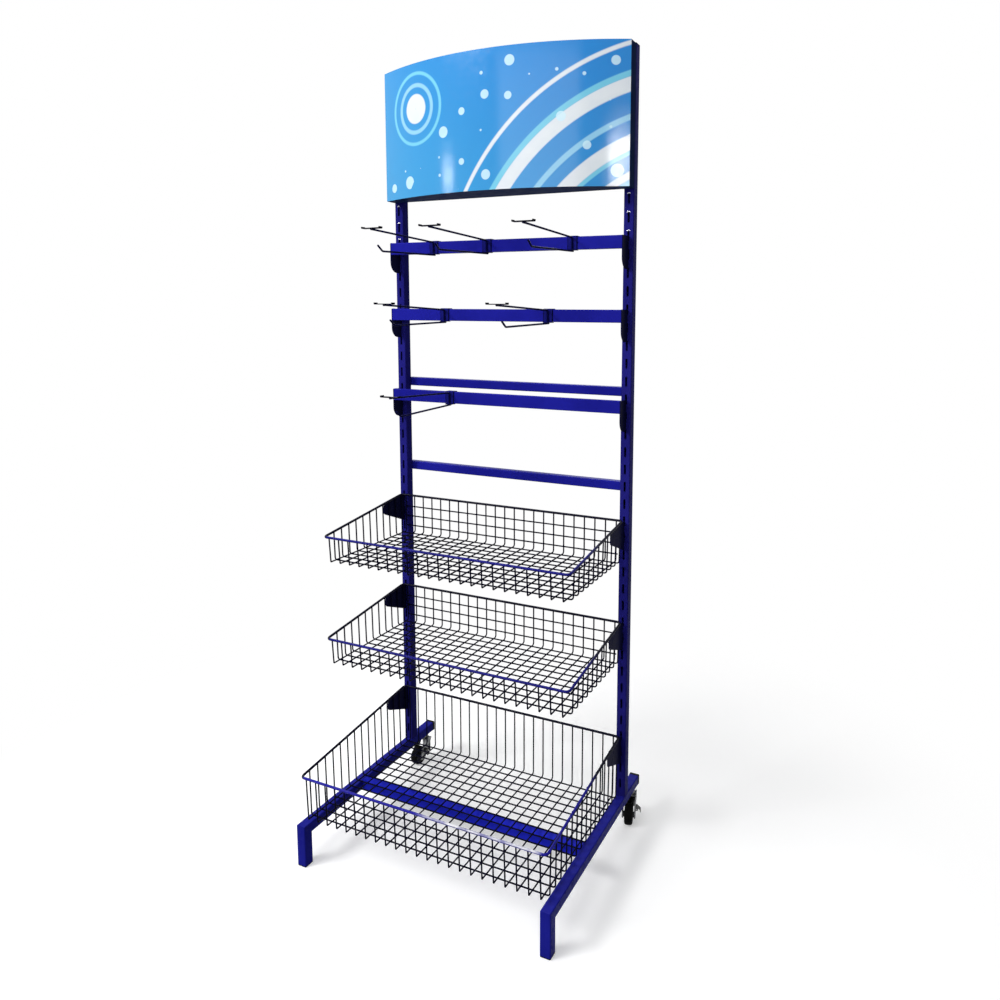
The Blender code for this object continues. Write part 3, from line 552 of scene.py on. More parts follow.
# Lower basket's rim coat: a lighter copy of the rim coat, as if better lit, with a painted glint along the
# top of its front rim
LOW_RIM = powder_coat("low_rim_coat", (0.014, 0.0125, 0.27), 0.24, 0.05, 0.0, RIM_PAINTED_SHADE, RIM_GLINT)
WIRE_NAVY = powder_coat("wire_coat", (0.0022, 0.0022, 0.014), 0.30, 0.012, 0.0)
NAVY = powder_coat("navy_coat", (0.0060, 0.0066, 0.043), 0.30, 0.006)
ARM_NAVY = powder_coat("arm_coat", (0.0034, 0.0038, 0.058), 0.30, 0.006, 0.0)
DARK = powder_coat("dark_coat", (0.0018, 0.0018, 0.008), 0.32, 0.006, 0.0)
TRAY = powder_coat("tray_coat", (0.012, 0.027, 0.098), 0.36, 0.0006, 0.0)
# The fork's zinc is given dark tones: painted shade standing for the dark surroundings that bright zinc would
# mirror
ZINC = zinc_plate("zinc_plate", 0.26, (0.052, 0.056, 0.062), (0.27, 0.275, 0.28))
DULL = zinc_plate("dull_zinc", 0.32, (0.014, 0.015, 0.016), (0.060, 0.060, 0.058))
BOLT = zinc_plate("bolt_zinc", 0.30, (0.30, 0.30, 0.31), (0.55, 0.55, 0.54))
GLINT_ZINC = zinc_plate("painted_glint_zinc", 0.34, (0.62, 0.62, 0.66), (0.85, 0.85, 0.86))
BLACK = moulded("black_plastic", (0.0040, 0.0040, 0.0050), 0.45, 700.0, 0.15, 0.04)
RUBBER = moulded("tyre_rubber", (0.0045, 0.0045, 0.0042), 0.6, 500.0, 0.40, 0.03)
HUB = moulded("hub_plastic", (0.020, 0.020, 0.022), 0.42, 600.0, 0.30, 0.10)
PRINT = printed("header_print")


# Object in the scene
def add_object(name, data):
    item = bpy.data.objects.new(name, data)
    bpy.context.scene.collection.objects.link(item)
    return item


# Mesh object from a shape, which is used up
def mesh_object(name, shape):
    mesh = bpy.data.meshes.new(name)
    shape.to_mesh(mesh)
    shape.free()
    return add_object(name, mesh)


# Turn a shape into a piece that rides on a body and stands for solids
def piece(name, shape, materials, body, nodes=(), bevel=0.0, angle=PLAIN_ANGLE):
    bmesh.ops.recalc_face_normals(shape, faces=shape.faces[:])
    item = mesh_object(name, shape)
    mesh = item.data
    for material in materials if isinstance(materials, (list, tuple)) else [materials]:
        mesh.materials.append(material)
    mesh.shade_smooth()
    if bevel > 0.0:
        edge = item.modifiers.new("edges", "BEVEL")
        edge.width = bevel
        edge.segments = 3
        edge.limit_method = "ANGLE"
        edge.angle_limit = math.radians(angle)
        edge.harden_normals = True
    else:
        mesh.set_sharp_from_angle(angle=math.radians(angle))
        item.modifiers.new("normals", "WEIGHTED_NORMAL").keep_sharp = True
    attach(item, body)
    if nodes:
        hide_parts(*nodes)
    return item


# Flat point at a level along an axis
def spot(axis, a, b, level):
    return Vector({"X": (level, a, b), "Y": (a, level, b), "Z": (a, b, level)}[axis])


# Straight solid between two levels
def prism(shape, outline, axis, start, end):
    low = [shape.verts.new(spot(axis, a, b, start)) for a, b in outline]
    high = [shape.verts.new(spot(axis, a, b, end)) for a, b in outline]
    shape.faces.new(low)
    shape.faces.new(high[::-1])
    for i in range(len(outline)):
        j = (i + 1) % len(outline)
        shape.faces.new((low[i], high[i], high[j], low[j]))
    return shape


# Rounded rectangle
def rounded(a, b, width, height, corner, steps=5):
    points = []
    for k, (sx, sy) in enumerate(((1, 1), (-1, 1), (-1, -1), (1, -1))):
        for s in range(steps + 1):
            turn = math.radians(90.0 * k + 90.0 * s / steps)
            x = a + sx * (width / 2 - corner) + corner * math.cos(turn)
            points.append((x, b + sy * (height / 2 - corner) + corner * math.sin(turn)))
    return points


# Circle as an outline
def circle(a, b, radius, steps):
    turns = [2 * math.pi * i / steps for i in range(steps)]
    return [(a + radius * math.cos(t), b + radius * math.sin(t)) for t in turns]


# Rings joined into a closed skin
def skin(shape, rings, closed):
    count = len(rings) if closed else len(rings) - 1
    for r in range(count):
        here, there = rings[r], rings[(r + 1) % len(rings)]
        for i in range(len(here)):
            j = (i + 1) % len(here)
            shape.faces.new((here[i], here[j], there[j], there[i]))


# Hollow tube with rounded corners
def tube(axis, a, b, width, height, corner, start, end, wall=WALL):
    shape = bmesh.new()
    outer = rounded(a, b, width, height, corner)
    inner = rounded(a, b, width - 2 * wall, height - 2 * wall, max(corner - wall, LEAST_CORNER))
    rings = []
    for outline, level in ((outer, start), (outer, end), (inner, end), (inner, start)):
        rings.append([shape.verts.new(spot(axis, p, q, level)) for p, q in outline])
    skin(shape, rings, True)
    return shape


# Turned shape about an axis
def turned(shape, profile, axis, a, b, steps, ring):
    columns = []
    poles = {}
    for i in range(steps):
        turn = 2 * math.pi * i / steps
        column = []
        for k, (radius, level) in enumerate(profile):
            if radius < 1e-9:
                if k not in poles:
                    poles[k] = shape.verts.new(spot(axis, a, b, level))
                column.append(poles[k])
            else:
                p, q = a + radius * math.cos(turn), b + radius * math.sin(turn)
                column.append(shape.verts.new(spot(axis, p, q, level)))
        columns.append(column)
    for i in range(steps):
        here, there = columns[i], columns[(i + 1) % steps]
        for k in range(len(profile) if ring else len(profile) - 1):
            n = (k + 1) % len(profile)
            shape.faces.new(list(dict.fromkeys((here[k], here[n], there[n], there[k]))))
    return shape


# Round the corners of a path
def fillet(points, radii, steps, closed=False):
    path = []
    count = len(points)
    for i, point in enumerate(points):
        radius = radii[i]
        if radius <= 0.0 or (not closed and i in (0, count - 1)):
            path.append(point.copy())
            continue
        back = (points[i - 1] - point).normalized()
        ahead = (points[(i + 1) % count] - point).normalized()
        half = back.angle(ahead) / 2
        centre = point + (back + ahead).normalized() * (radius / math.sin(half))
        start = point + back * (radius / math.tan(half)) - centre
        end = point + ahead * (radius / math.tan(half)) - centre
        spread = start.angle(end)
        for s in range(steps + 1):
            u = s / steps
            arc = start * math.sin((1 - u) * spread) + end * math.sin(u * spread)
            path.append(centre + arc / math.sin(spread))
    return path


# Round wire along a flat path; tip rounds off its far end
def wire(shape, path, diameter, sides, normal, closed=False, tip=False, swell=None):
    normal = Vector(normal).normalized()
    radii = [diameter / 2] * len(path)
    path = [p.copy() for p in path]
    if tip:
        ahead = (path[-1] - path[-2]).normalized()
        base = path[-1] - ahead * diameter / 2
        path[-1] = base
        for s in range(1, TIP_STEPS + 1):
            turn = math.radians(TIP_TURN * s / TIP_STEPS)
            path.append(base + ahead * diameter / 2 * math.sin(turn))
            radii.append(diameter / 2 * math.cos(turn))
    rings = []
    count = len(path)
    for i, point in enumerate(path):
        d_in = (point - path[i - 1]).normalized() if closed or i > 0 else None
        d_out = (path[(i + 1) % count] - point).normalized() if closed or i < count - 1 else None
        d_in, d_out = d_in or d_out, d_out or d_in
        along = (d_in + d_out).normalized()
        across = normal.cross(along) / max(along.dot(d_in), LEAST_MITRE)
        radius = radii[i] * (1.0 if swell is None else swell(point))
        turns = [2 * math.pi * (k + 0.5) / sides for k in range(sides)]
        rings.append([
            shape.verts.new(point + radius * (normal * math.cos(t) + across * math.sin(t))) for t in turns
        ])
    skin(shape, rings, closed)
    if not closed:
        shape.faces.new(rings[0][::-1])
        shape.faces.new(rings[-1])


# Weld bead: a wavering thin line of metal along a seam
def bead(shape, points, normal, size=BEAD, closed=True):
    path = []
    count = len(points)
    for i in range(count if closed else count - 1):
        a, b = points[i], points[(i + 1) % count]
        parts = max(2, int((b - a).length / BEAD_STEP))
        path += [a.lerp(b, s / parts) for s in range(parts)]
    if not closed:
        path.append(points[-1])

    def swell(p):
        least, wave, pace = BEAD_WAVE
        return least + wave * noise.noise(p * pace)

    wire(shape, path, size, 6, normal, closed, swell=swell)


# Exact difference of two shapes, which are used up
def cut(shape, tool):
    items = []
    for label, part in (("base", shape), ("tool", tool)):
        bmesh.ops.recalc_face_normals(part, faces=part.faces[:])
        items.append(mesh_object(label, part))
    modifier = items[0].modifiers.new("cut", "BOOLEAN")
    modifier.operation = "DIFFERENCE"
    modifier.solver = "EXACT"
    modifier.object = items[1]
    view = bpy.context.evaluated_depsgraph_get()
    mesh = bpy.data.meshes.new_from_object(items[0].evaluated_get(view))
    result = bmesh.new()
    result.from_mesh(mesh)
    bpy.data.meshes.remove(mesh)
    for item in items:
        data = item.data
        bpy.data.objects.remove(item, do_unlink=True)
        bpy.data.meshes.remove(data)
    return result


# Flat outline with its corners rounded
def soften(points, radii, steps):
    flat = [Vector((a, b, 0.0)) for a, b in points]
    return [(p.x, p.y) for p in fillet(flat, radii, steps, True)]


# Outline of bent sheet along a middle line
def bent_sheet(points, radius, thickness, steps=5):
    flat = [Vector((a, b, 0.0)) for a, b in points]
    line = fillet(flat, [radius] * len(flat), steps)
    left, right = [], []
    for i, p in enumerate(line):
        d_in = (p - line[i - 1]).normalized() if i else (line[1] - p).normalized()
        d_out = (line[i + 1] - p).normalized() if i < len(line) - 1 else d_in
        along = (d_in + d_out).normalized()
        side = Vector((-along.y, along.x, 0.0)) * (thickness / 2 / max(along.dot(d_in), LEAST_MITRE))
        left.append((p.x + side.x, p.y + side.y))
        right.append((p.x - side.x, p.y - side.y))
    return left + right[::-1]


# Level of a slot's top
def slot_top(index):
    return FIRST_SLOT + index * SLOT_PITCH


# Square stopper of black plastic
def stopper(name, node, axis, a, b, start, end, bevel):
    shape = prism(bmesh.new(), rounded(a, b, PLUG_WIDTH, PLUG_WIDTH, CORNER), axis, start, end)
    piece(name, shape, BLACK, "frame", [node], bevel)


# Uprights with long round-ended slots, and their caps
def make_uprights():
    for label, side in SIDES.items():
        x = side * HALF
        shape = tube("Z", x, UPRIGHT_Y, TUBE, TUBE, CORNER, LEG_TOP, TOP - PLUG)
        slots = bmesh.new()
        for k in range(SLOTS):
            outline = rounded(x, slot_top(k) - SLOT_LENGTH / 2, SLOT_WIDTH, SLOT_LENGTH, SLOT_END, 4)
            prism(slots, outline, "Y", *SLOT_CUT)
        shape = cut(shape, slots)
        piece("tube_upright_" + label, shape, BLUE, "frame", ["upright_" + label])
        # The top lips take bright bare zinc as painted glints, the rest the upright's blue
        for name, first, last, coat, slot in (
            ("slot_lips_", 0, SLOTS - GLINT_LIPS, BLUE, "blue_paint"),
            ("slot_lips_glint_", SLOTS - GLINT_LIPS, SLOTS, GLINT_ZINC, "zinc"),
        ):
            lips = bmesh.new()
            for k in range(first, last):
                middle = slot_top(k) - SLOT_WIDTH / 2
                arc = [(math.cos(t) * LIP_ROUND, math.sin(t) * LIP_ROUND) for t in LIP_TURNS]
                arc = [Vector((x + a, LIP_Y, middle + b)) for a, b in arc]
                wire(lips, arc, SLOT_LIP, WIRE_SIDES, (0, 1, 0))
            piece(name + label, lips, coat, "frame", angle=WIRE_ANGLE)
        name, node = "cap_upright_" + label, "upright_cap_" + label
        stopper(name, node, "Z", x, UPRIGHT_Y, TOP - PLUG, TOP, PLUG_EDGE)


# Legs running into their feet, plugs, glides, crossbar, rails and weld beads
def make_base():
    beads = bmesh.new()
    for label, side in SIDES.items():
        x = side * HALF
        rings = []
        for shrink, order in ((0.0, 1), (WALL, -1)):
            size = TUBE - 2 * shrink
            outline = rounded(0.0, 0.0, size, size, CORNER - shrink)
            rear = [Vector((x + p, LEG_REAR - PLUG, LEG_MIDDLE + q)) for p, q in outline]
            turn = [Vector((x + p, FOOT_Y - q, LEG_MIDDLE + q)) for p, q in outline]
            foot = [Vector((x + p, FOOT_Y - q, PLUG)) for p, q in outline]
            rings += [rear, turn, foot][::order]
        shape = bmesh.new()
        skin(shape, [[shape.verts.new(p) for p in ring] for ring in rings], True)
        nodes = ["base_leg_" + label, "front_foot_" + label]
        piece("tube_leg_" + label, shape, LEG_BLUE, "frame", nodes)
        node = "leg_plug_" + label
        stopper("plug_leg_" + label, node, "Y", x, LEG_MIDDLE, LEG_REAR - PLUG, LEG_REAR, PLUG_EDGE)
        start, end = LEG_REAR - CAP_SLEEVE, LEG_REAR - CAP_SHORT
        cap = tube("Y", x, LEG_MIDDLE, CAP_WIDTH, CAP_WIDTH, CORNER, start, end, CAP_WALL)
        piece("cap_leg_" + label, cap, BLACK, "frame", [node], CAP_EDGE)
        stopper("glide_foot_" + label, "foot_glide_" + label, "Z", x, FOOT_Y, 0.0, PLUG, GLIDE_EDGE)
        ring = rounded(x, UPRIGHT_Y, TUBE - BEAD_INSET, TUBE, CORNER, 3)
        bead(beads, [Vector((p, q, LEG_TOP)) for p, q in ring], (0, 0, 1))
    shape = tube("X", CROSSBAR_Y, LEG_MIDDLE, TUBE, TUBE, CORNER, -CROSSBAR_HALF, CROSSBAR_HALF)
    piece("tube_crossbar", shape, CROSS_BLUE, "frame", ["base_crossbar"])
    for end in (-1, 1):
        ring = rounded(CROSSBAR_Y, LEG_MIDDLE, TUBE, TUBE - BEAD_INSET, CORNER, 3)
        bead(beads, [Vector((end * CROSSBAR_HALF, p, q)) for p, q in ring], (1, 0, 0))
    for label, top in RAIL_TOPS.items():
        shape = tube("X", BEHIND + RAIL / 2, top - RAIL / 2, RAIL, RAIL, CORNER, -HALF, HALF)
        piece("tube_rail_" + label, shape, BAR_BLUE, "frame", ["cross_rail_" + label])
        for side in (-1, 1):
            for z in (top - RAIL_BEAD_EDGE, top - RAIL + RAIL_BEAD_EDGE):
                line = [Vector((side * a, BEHIND, z)) for a in (HALF, HALF - RAIL_BEAD_RUN)]
                bead(beads, line, (0, 0, 1), closed=False)
            x = side * (CROSSBAR_HALF + BEAD_INSET)
            line = [Vector((x, BEHIND, z)) for z in (top - RAIL_BEAD_END, top - RAIL + RAIL_BEAD_END)]
            bead(beads, line, (1, 0, 0), closed=False)
    piece("weld_beads_frame", beads, LEG_BLUE, "frame", angle=BEAD_ANGLE)


# Points of the bowed header line
def bow(edge):
    radius = (HEADER_HALF * HEADER_HALF + BULGE * BULGE) / (2 * BULGE)
    spread = math.asin(HEADER_HALF / radius)
    turns = [-spread + 2 * spread * i / HEADER_STEPS for i in range(HEADER_STEPS + 1)]
    return [(radius * math.sin(t), edge - BULGE + radius * (1 - math.cos(t))) for t in turns]


# Bowed printed panel in a folded tray
def make_header():
    front, back = bow(HEADER_EDGE), bow(HEADER_EDGE + HEADER_SHEET)
    shape = bmesh.new()
    uv = shape.loops.layers.uv.new("print")
    levels = [HEADER_LOW, HEADER_TOP]
    grid = [[[shape.verts.new((x, y, z)) for z in levels] for x, y in line] for line in (front, back)]
    for i in range(HEADER_STEPS):
        (f0, f1), (b0, b1) = grid[0][i:i + 2], grid[1][i:i + 2]
        face = shape.faces.new((f0[0], f1[0], f1[1], f0[1]))
        for loop, (s, t) in zip(face.loops, ((i, 0), (i + 1, 0), (i + 1, 1), (i, 1))):
            loop[uv].uv = (s / HEADER_STEPS, t)
        behind = (b1[0], b0[0], b0[1], b1[1])
        below, above = (f1[0], f0[0], b0[0], b1[0]), (f0[1], f1[1], b1[1], b0[1])
        for corners in (behind, below, above):
            shape.faces.new(corners).material_index = 1
    for i in (0, HEADER_STEPS):
        f, b = grid[0][i], grid[1][i]
        shape.faces.new((f[0], f[1], b[1], b[0])).material_index = 1
    piece("sheet_header_panel", shape, [PRINT, TRAY], "frame", ["header_panel"])
    outline = back + [(HEADER_HALF, SEAT), (-HEADER_HALF, SEAT)]
    tray = prism(bmesh.new(), outline, "Z", HEADER_LOW, HEADER_TOP)
    inner, rear = HEADER_HALF - TRAY_SHEET, SEAT - TRAY_SHEET
    room = [(-inner, TRAY_CUT), (inner, TRAY_CUT), (inner, rear), (-inner, rear)]
    room = prism(bmesh.new(), room, "Z", HEADER_LOW + TRAY_SHEET, HEADER_TOP - TRAY_SHEET)
    piece("sheet_header_tray", cut(tray, room), TRAY, "frame", ["header_tray"])


# Side plate with two lugs; its outline runs from the upper rear corner round to the lower one
def hanging_plate(name, x, outline, index, body):
    points = list(outline)
    for k in (index - 1, index):
        low = slot_top(k) - SLOT_LENGTH + GAP
        points += [(SEAT, low), (LUG_FRONT, low), (LUG_FRONT, low - LUG_HANG)]
        points += [(LUG_REAR, low - LUG_HANG), (LUG_REAR, low + LUG_RISE), (SEAT, low + LUG_RISE)]
    shape = prism(bmesh.new(), points, "X", x - PLATE / 2, x + PLATE / 2)
    piece("plate_" + name, shape, NAVY, body, [name], SHEET_EDGE)


# Clip of bent sheet with its prong, label arm, cross strip, dark hems that also paint the shade along its
# edges, and welds
def make_hook(place, x, top):
    body = "hook_" + place
    half = CLIP_SHEET / 2
    near, far = BAR_FRONT - GAP - half, BAR_FRONT + BAR_D + GAP + half
    roof, ground = top + GAP + half, top - BAR_H - GAP - half
    line = [(far, roof - CLIP_LIP), (far, roof), (near, roof), (near, ground), (near + CLIP_LEDGE, ground)]
    clip = bent_sheet(line, CLIP_BEND, CLIP_SHEET)
    clip = prism(bmesh.new(), clip, "X", x - CLIP_HALF, x + CLIP_HALF)
    piece("clip_" + place, clip, CLIP_BLUE, body, ["peg_hook_" + place], SHEET_EDGE)
    toe = rounded(x, near - TOE / 2, TOE_WIDTH, TOE + TOE_LAP, TOE_CORNER)
    toe = prism(bmesh.new(), toe, "Z", ground - half, ground + half)
    piece("clip_toe_" + place, toe, NAVY, body, ["peg_hook_" + place], SHEET_EDGE)

    root = Vector((x, near + CLIP_LEDGE / 2, ground - half - PRONG_SUNK))
    bend = Vector((x, BAR_FRONT - PRONG_REACH, root.z - PRONG_DIP))
    path = fillet([root, bend, bend + Vector((0.0, *PRONG_TIP))], [0.0, PRONG_BEND, 0.0], 8)
    shape = bmesh.new()
    wire(shape, path, PRONG, ROD_SIDES, (1, 0, 0), tip=True)
    piece("prong_" + place, shape, ARM_NAVY, body, angle=WIRE_ANGLE)
    leg_y = near - half - ARM_STAND
    start = Vector((x, leg_y, top - PRONG / 2))
    foot = Vector((x, leg_y, ground + ARM_FOOT))
    end_y = BAR_FRONT - ARM_REACH
    turn = Vector((x, end_y + STRIP_DEPTH, top + ARM_RISE - PRONG))
    end = Vector((x, end_y + STRIP_AHEAD, turn.z))
    shape = bmesh.new()
    wire(shape, fillet([foot, start, turn, end], ARM_BENDS, 6), PRONG, ROD_SIDES, (1, 0, 0), tip=True)
    piece("arm_" + place, shape, ARM_NAVY, body, ["label_arm_" + place], angle=WIRE_ANGLE)

    low = turn.z + PRONG_SUNK
    base, crest = low + STRIP_SHEET / 2, low + STRIP_LIP
    wall = STRIP_HALF - STRIP_SHEET / 2
    line = [(x - wall, crest), (x - wall, base), (x + wall, base), (x + wall, crest)]
    strip = bent_sheet(line, STRIP_BEND, STRIP_SHEET)
    strip = prism(bmesh.new(), strip, "Y", end_y, end_y + STRIP_DEPTH)
    piece("strip_" + place, strip, DARK, body, ["label_arm_" + place], SHEET_EDGE)
    welds = bmesh.new()
    for side in (-1, 1):
        # Dark hems down both side edges of the clip, standing also as painted shade along those edges
        hem_shade = [Vector((x + side * CLIP_HALF, near, z)) for z in (ground, roof)]
        wire(welds, hem_shade, CLIP_HEM_SHADE, 8, (0, 1, 0))
        ends = (foot.z + ARM_SEAM_LOW, start.z - ARM_SEAM_HIGH)
        seam = [Vector((x + side * ARM_SEAM, near - half, z)) for z in ends]
        bead(welds, seam, (0, 1, 0), HOOK_BEAD, closed=False)
        seam = [Vector((x + side * TOE_SEAM, y, ground - half)) for y in (near, near - TOE_SEAM_RUN)]
        bead(welds, seam, (0, 0, 1), HOOK_BEAD, closed=False)
    piece("hook_welds_and_hem_shade_" + place, welds, DARK, body, angle=BEAD_ANGLE)


# Hook bars with plates and hooks
def make_bars():
    mid_y = BAR_FRONT + BAR_D / 2
    for label, index in BARS.items():
        body = "bar_" + label
        top = slot_top(index) - BAR_BELOW_SLOT_TOP
        mid_z = top - BAR_H / 2
        shape = tube("X", mid_y, mid_z, BAR_D, BAR_H, BAR_CORNER, -BAR_HALF, BAR_HALF, BAR_WALL)
        piece("tube_bar_" + label, shape, BAR_BLUE, body, ["hook_bar_" + label])
        low = top - PLATE_HEIGHT
        outline = [(SEAT, top), (BAR_FRONT, top), (BAR_FRONT, low), (SEAT, low)]
        outline = soften(outline, BAR_PLATE_ROUNDS, 8)
        ring = rounded(mid_y, mid_z, BAR_D, BAR_H, BAR_CORNER, 2)
        welds = bmesh.new()
        for side_label, side in SIDES.items():
            hanging_plate("bar_plate_%s_%s" % (label, side_label), side * HALF, outline, index, body)
            bead(welds, [Vector((side * BAR_HALF, p, q)) for p, q in ring], (1, 0, 0), BAR_BEAD)
        piece("bar_welds_" + label, welds, BAR_BLUE, body, angle=BEAD_ANGLE)
        for number, x in enumerate(HOOKS[label], 1):
            make_hook("%s_%d" % (label, number), x, top)


# Wire baskets
def make_baskets():
    for label, (index, tilt, front_height, back_height, depth, rows) in BASKETS.items():
        body = "basket_" + label
        rim_z = slot_top(index) - RIM_BELOW_SLOT_TOP
        back, front = BASKET_BACK, BASKET_BACK - depth
        floor_front = front + FRONT_TAPER
        fall = (back_height - front_height - tilt) / depth

        def level(y):
            return rim_z - fall * (back - y)

        def floor(y):
            return rim_z - back_height + tilt * (back - y) / (back - floor_front)

        corners = ((-1, front), (1, front), (1, back), (-1, back))
        corners = [Vector((sx * HALF, y, level(y))) for sx, y in corners]
        rim = bmesh.new()
        path = fillet(corners, [RIM_CORNER] * 4, 8, True)
        wire(rim, path, RIM, RIM_SIDES, (0.0, -fall, 1.0), True)
        coat = LOW_RIM if label == "lower" else RIM_BLUE
        piece("rim_" + body, rim, coat, body, [body], angle=WIRE_ANGLE)

        wires = bmesh.new()
        count = int((SIDE_HALF - SIDE_BEND) / WIRE_PITCH)
        bends = [0.0, BACK_BEND, FRONT_BEND, 0.0]
        line = [(back, rim_z), (back, floor(back)), (floor_front, floor(floor_front)), (front, level(front))]
        for i in range(-count, count + 1):
            points = [Vector((i * WIRE_PITCH, y, z)) for y, z in line]
            wire(wires, fillet(points, bends, 5), WIRE_COATED, WIRE_SIDES, (1, 0, 0))
        bends = [0.0, SIDE_BEND, SIDE_BEND, 0.0]
        y = back - FIRST_CROSS
        while y > floor_front + WIRE + FRONT_BEND:
            under = floor(y) - WIRE - GAP
            line = [(-WELD_HALF, level(y)), (-SIDE_HALF, under), (SIDE_HALF, under), (WELD_HALF, level(y))]
            points = [Vector((x, y, z)) for x, z in line]
            wire(wires, fillet(points, bends, 5), WIRE_COATED, WIRE_SIDES, (0, 1, 0))
            y -= CROSS_PITCH
        end = count * WIRE_PITCH + WIRE
        for k in range(rows):
            z = rim_z - FIRST_ROW - k * ROW_PITCH
            path = [Vector((sx * end, back + WIRE, z)) for sx in (-1, 1)]
            wire(wires, path, WIRE_COATED, WIRE_SIDES, (0, 0, 1))
        piece("wires_" + body, wires, WIRE_NAVY, body, [body], angle=WIRE_ANGLE)

        tip_z = level(BASKET_PLATE_FRONT)
        outline = [
            (SEAT, rim_z - RIM_SEAT), (back, rim_z - RIM_SEAT), (BASKET_PLATE_FRONT, tip_z - RIM_SEAT),
            (BASKET_PLATE_FRONT, tip_z - BASKET_PLATE_TIP), (SEAT, rim_z - PLATE_HEIGHT),
        ]
        outline = soften(outline, BASKET_PLATE_ROUNDS, 5)
        for side_label, side in SIDES.items():
            hanging_plate("basket_plate_%s_%s" % (label, side_label), side * HALF, outline, index, body)


# Outer boundary of flat points
def hull(points):
    ordered = sorted(set(points))

    def chain(sequence):
        line = []
        for p in sequence:
            while len(line) > 1:
                (ax, ay), (bx, by) = line[-2], line[-1]
                if (bx - ax) * (p[1] - ay) - (by - ay) * (p[0] - ax) > 0:
                    break
                line.pop()
            line.append(p)
        return line[:-1]

    return chain(ordered) + chain(ordered[::-1])


# Stem, bearing head with its dust groove, and kingpin
def castor_head(x):
    profile = [(r, CASTOR_TOP - d) for r, d in HEAD_UPPER] + [(r, HEAD_LOW + h) for r, h in HEAD_FOOT]
    profile += [(r, CROWN - d) for r, d in KINGPIN]
    return turned(bmesh.new(), profile, "Z", x, SWIVEL_Y, 36, False)


# Ring with a section that is the same on both sides of the wheel
def wheel_ring(x, section, steps):
    profile = [(r, x - w) for r, w in section] + [(r, x + w) for r, w in section[::-1]]
    return turned(bmesh.new(), profile, "X", AXLE_Y, AXLE_Z, steps, True)


# Hub with a boss, a dished web and ribs
def wheel_core(x):
    hub = wheel_ring(x, HUB_SECTION, 40)
    for k in range(HUB_RIBS):
        c, s = math.cos(2 * math.pi * k / HUB_RIBS), math.sin(2 * math.pi * k / HUB_RIBS)
        rib = [(AXLE_Y + a * c - b * s, AXLE_Z + a * s + b * c) for a, b in HUB_RIB]
        prism(hub, rib, "X", x - FLANGE + RIB_SUNK, x + FLANGE - RIB_SUNK)
    return hub


# Fork: two arms with rolled edges, a rear web, crown, ears and riveted pins
def make_fork(x, put):
    body, node = "castor_", "castor_fork_"
    shoulder = CROWN - FORK_BELOW_CROWN
    points = [(FORK_BACK, shoulder), (FORK_FRONT, shoulder), (FORK_BACK, CROWN - FORK_SHOULDER)]
    points += circle(AXLE_Y, AXLE_Z, FORK_ROUND, 36)
    reach = LEVER_SPAN / 2 + FORK_SHEET
    outline = hull(points + [(LEVER_Y - reach, LEVER_Z), (LEVER_Y + reach, LEVER_Z)])
    arms, rolls = bmesh.new(), bmesh.new()
    for end in (-1, 1):
        prism(arms, outline, "X", x + end * FORK_HALF, x + end * FORK_OUT)
        edge = [Vector((x + end * (FORK_OUT - ROLL_SUNK), p, q)) for p, q in outline]
        wire(rolls, edge, FORK_ROLL, 8, (1, 0, 0), True)
    inside, high = FORK_BACK + FORK_SHEET, CROWN - WEB_BELOW_CROWN
    web = [(FORK_BACK, WEB_LOW), (inside, WEB_LOW), (inside, high), (FORK_BACK, high)]
    prism(arms, web, "X", x - WEB_HALF, x + WEB_HALF)
    put("castor_arms_", arms, ZINC, body, node, bevel=FORK_EDGE, angle=TURNED_ANGLE)
    put("castor_rolls_", rolls, ZINC, body, node, angle=WIRE_ANGLE)
    top = rounded(x, SWIVEL_Y, CROWN_WIDTH, CROWN_DEPTH, CROWN_CORNER, 4)
    top = prism(bmesh.new(), top, "Z", CROWN - FORK_SHEET, CROWN)
    put("castor_crown_", top, ZINC, body, node, bevel=CROWN_EDGE)
    pin_x, root_x = x - LEVER_OUT, x - FORK_OUT + FORK_SHEET / 2
    ear = circle(pin_x, LEVER_Z, EAR, 28) + [(root_x, LEVER_Z - EAR_FOOT), (root_x, LEVER_Z + EAR_FOOT)]
    ears, pins = bmesh.new(), bmesh.new()
    for end in (-1, 1):
        ear_y = LEVER_Y + end * LEVER_SPAN / 2
        prism(ears, hull(ear), "Y", ear_y - FORK_SHEET / 2, ear_y + FORK_SHEET / 2)
        out = x + end * FORK_OUT
        turned(pins, [(r, out + end * h) for r, h in AXLE_HEAD], "X", AXLE_Y, AXLE_Z, 24, False)
        out = LEVER_Y + end * (LEVER_SPAN + FORK_SHEET) / 2
        turned(pins, [(r, out + end * h) for r, h in PIN_HEAD], "Y", pin_x, LEVER_Z, 20, False)
    put("castor_ears_", ears, DULL, body, node, bevel=EAR_EDGE, angle=TURNED_ANGLE)
    put("castor_pins_", pins, BOLT, body, node, angle=PIN_ANGLE)


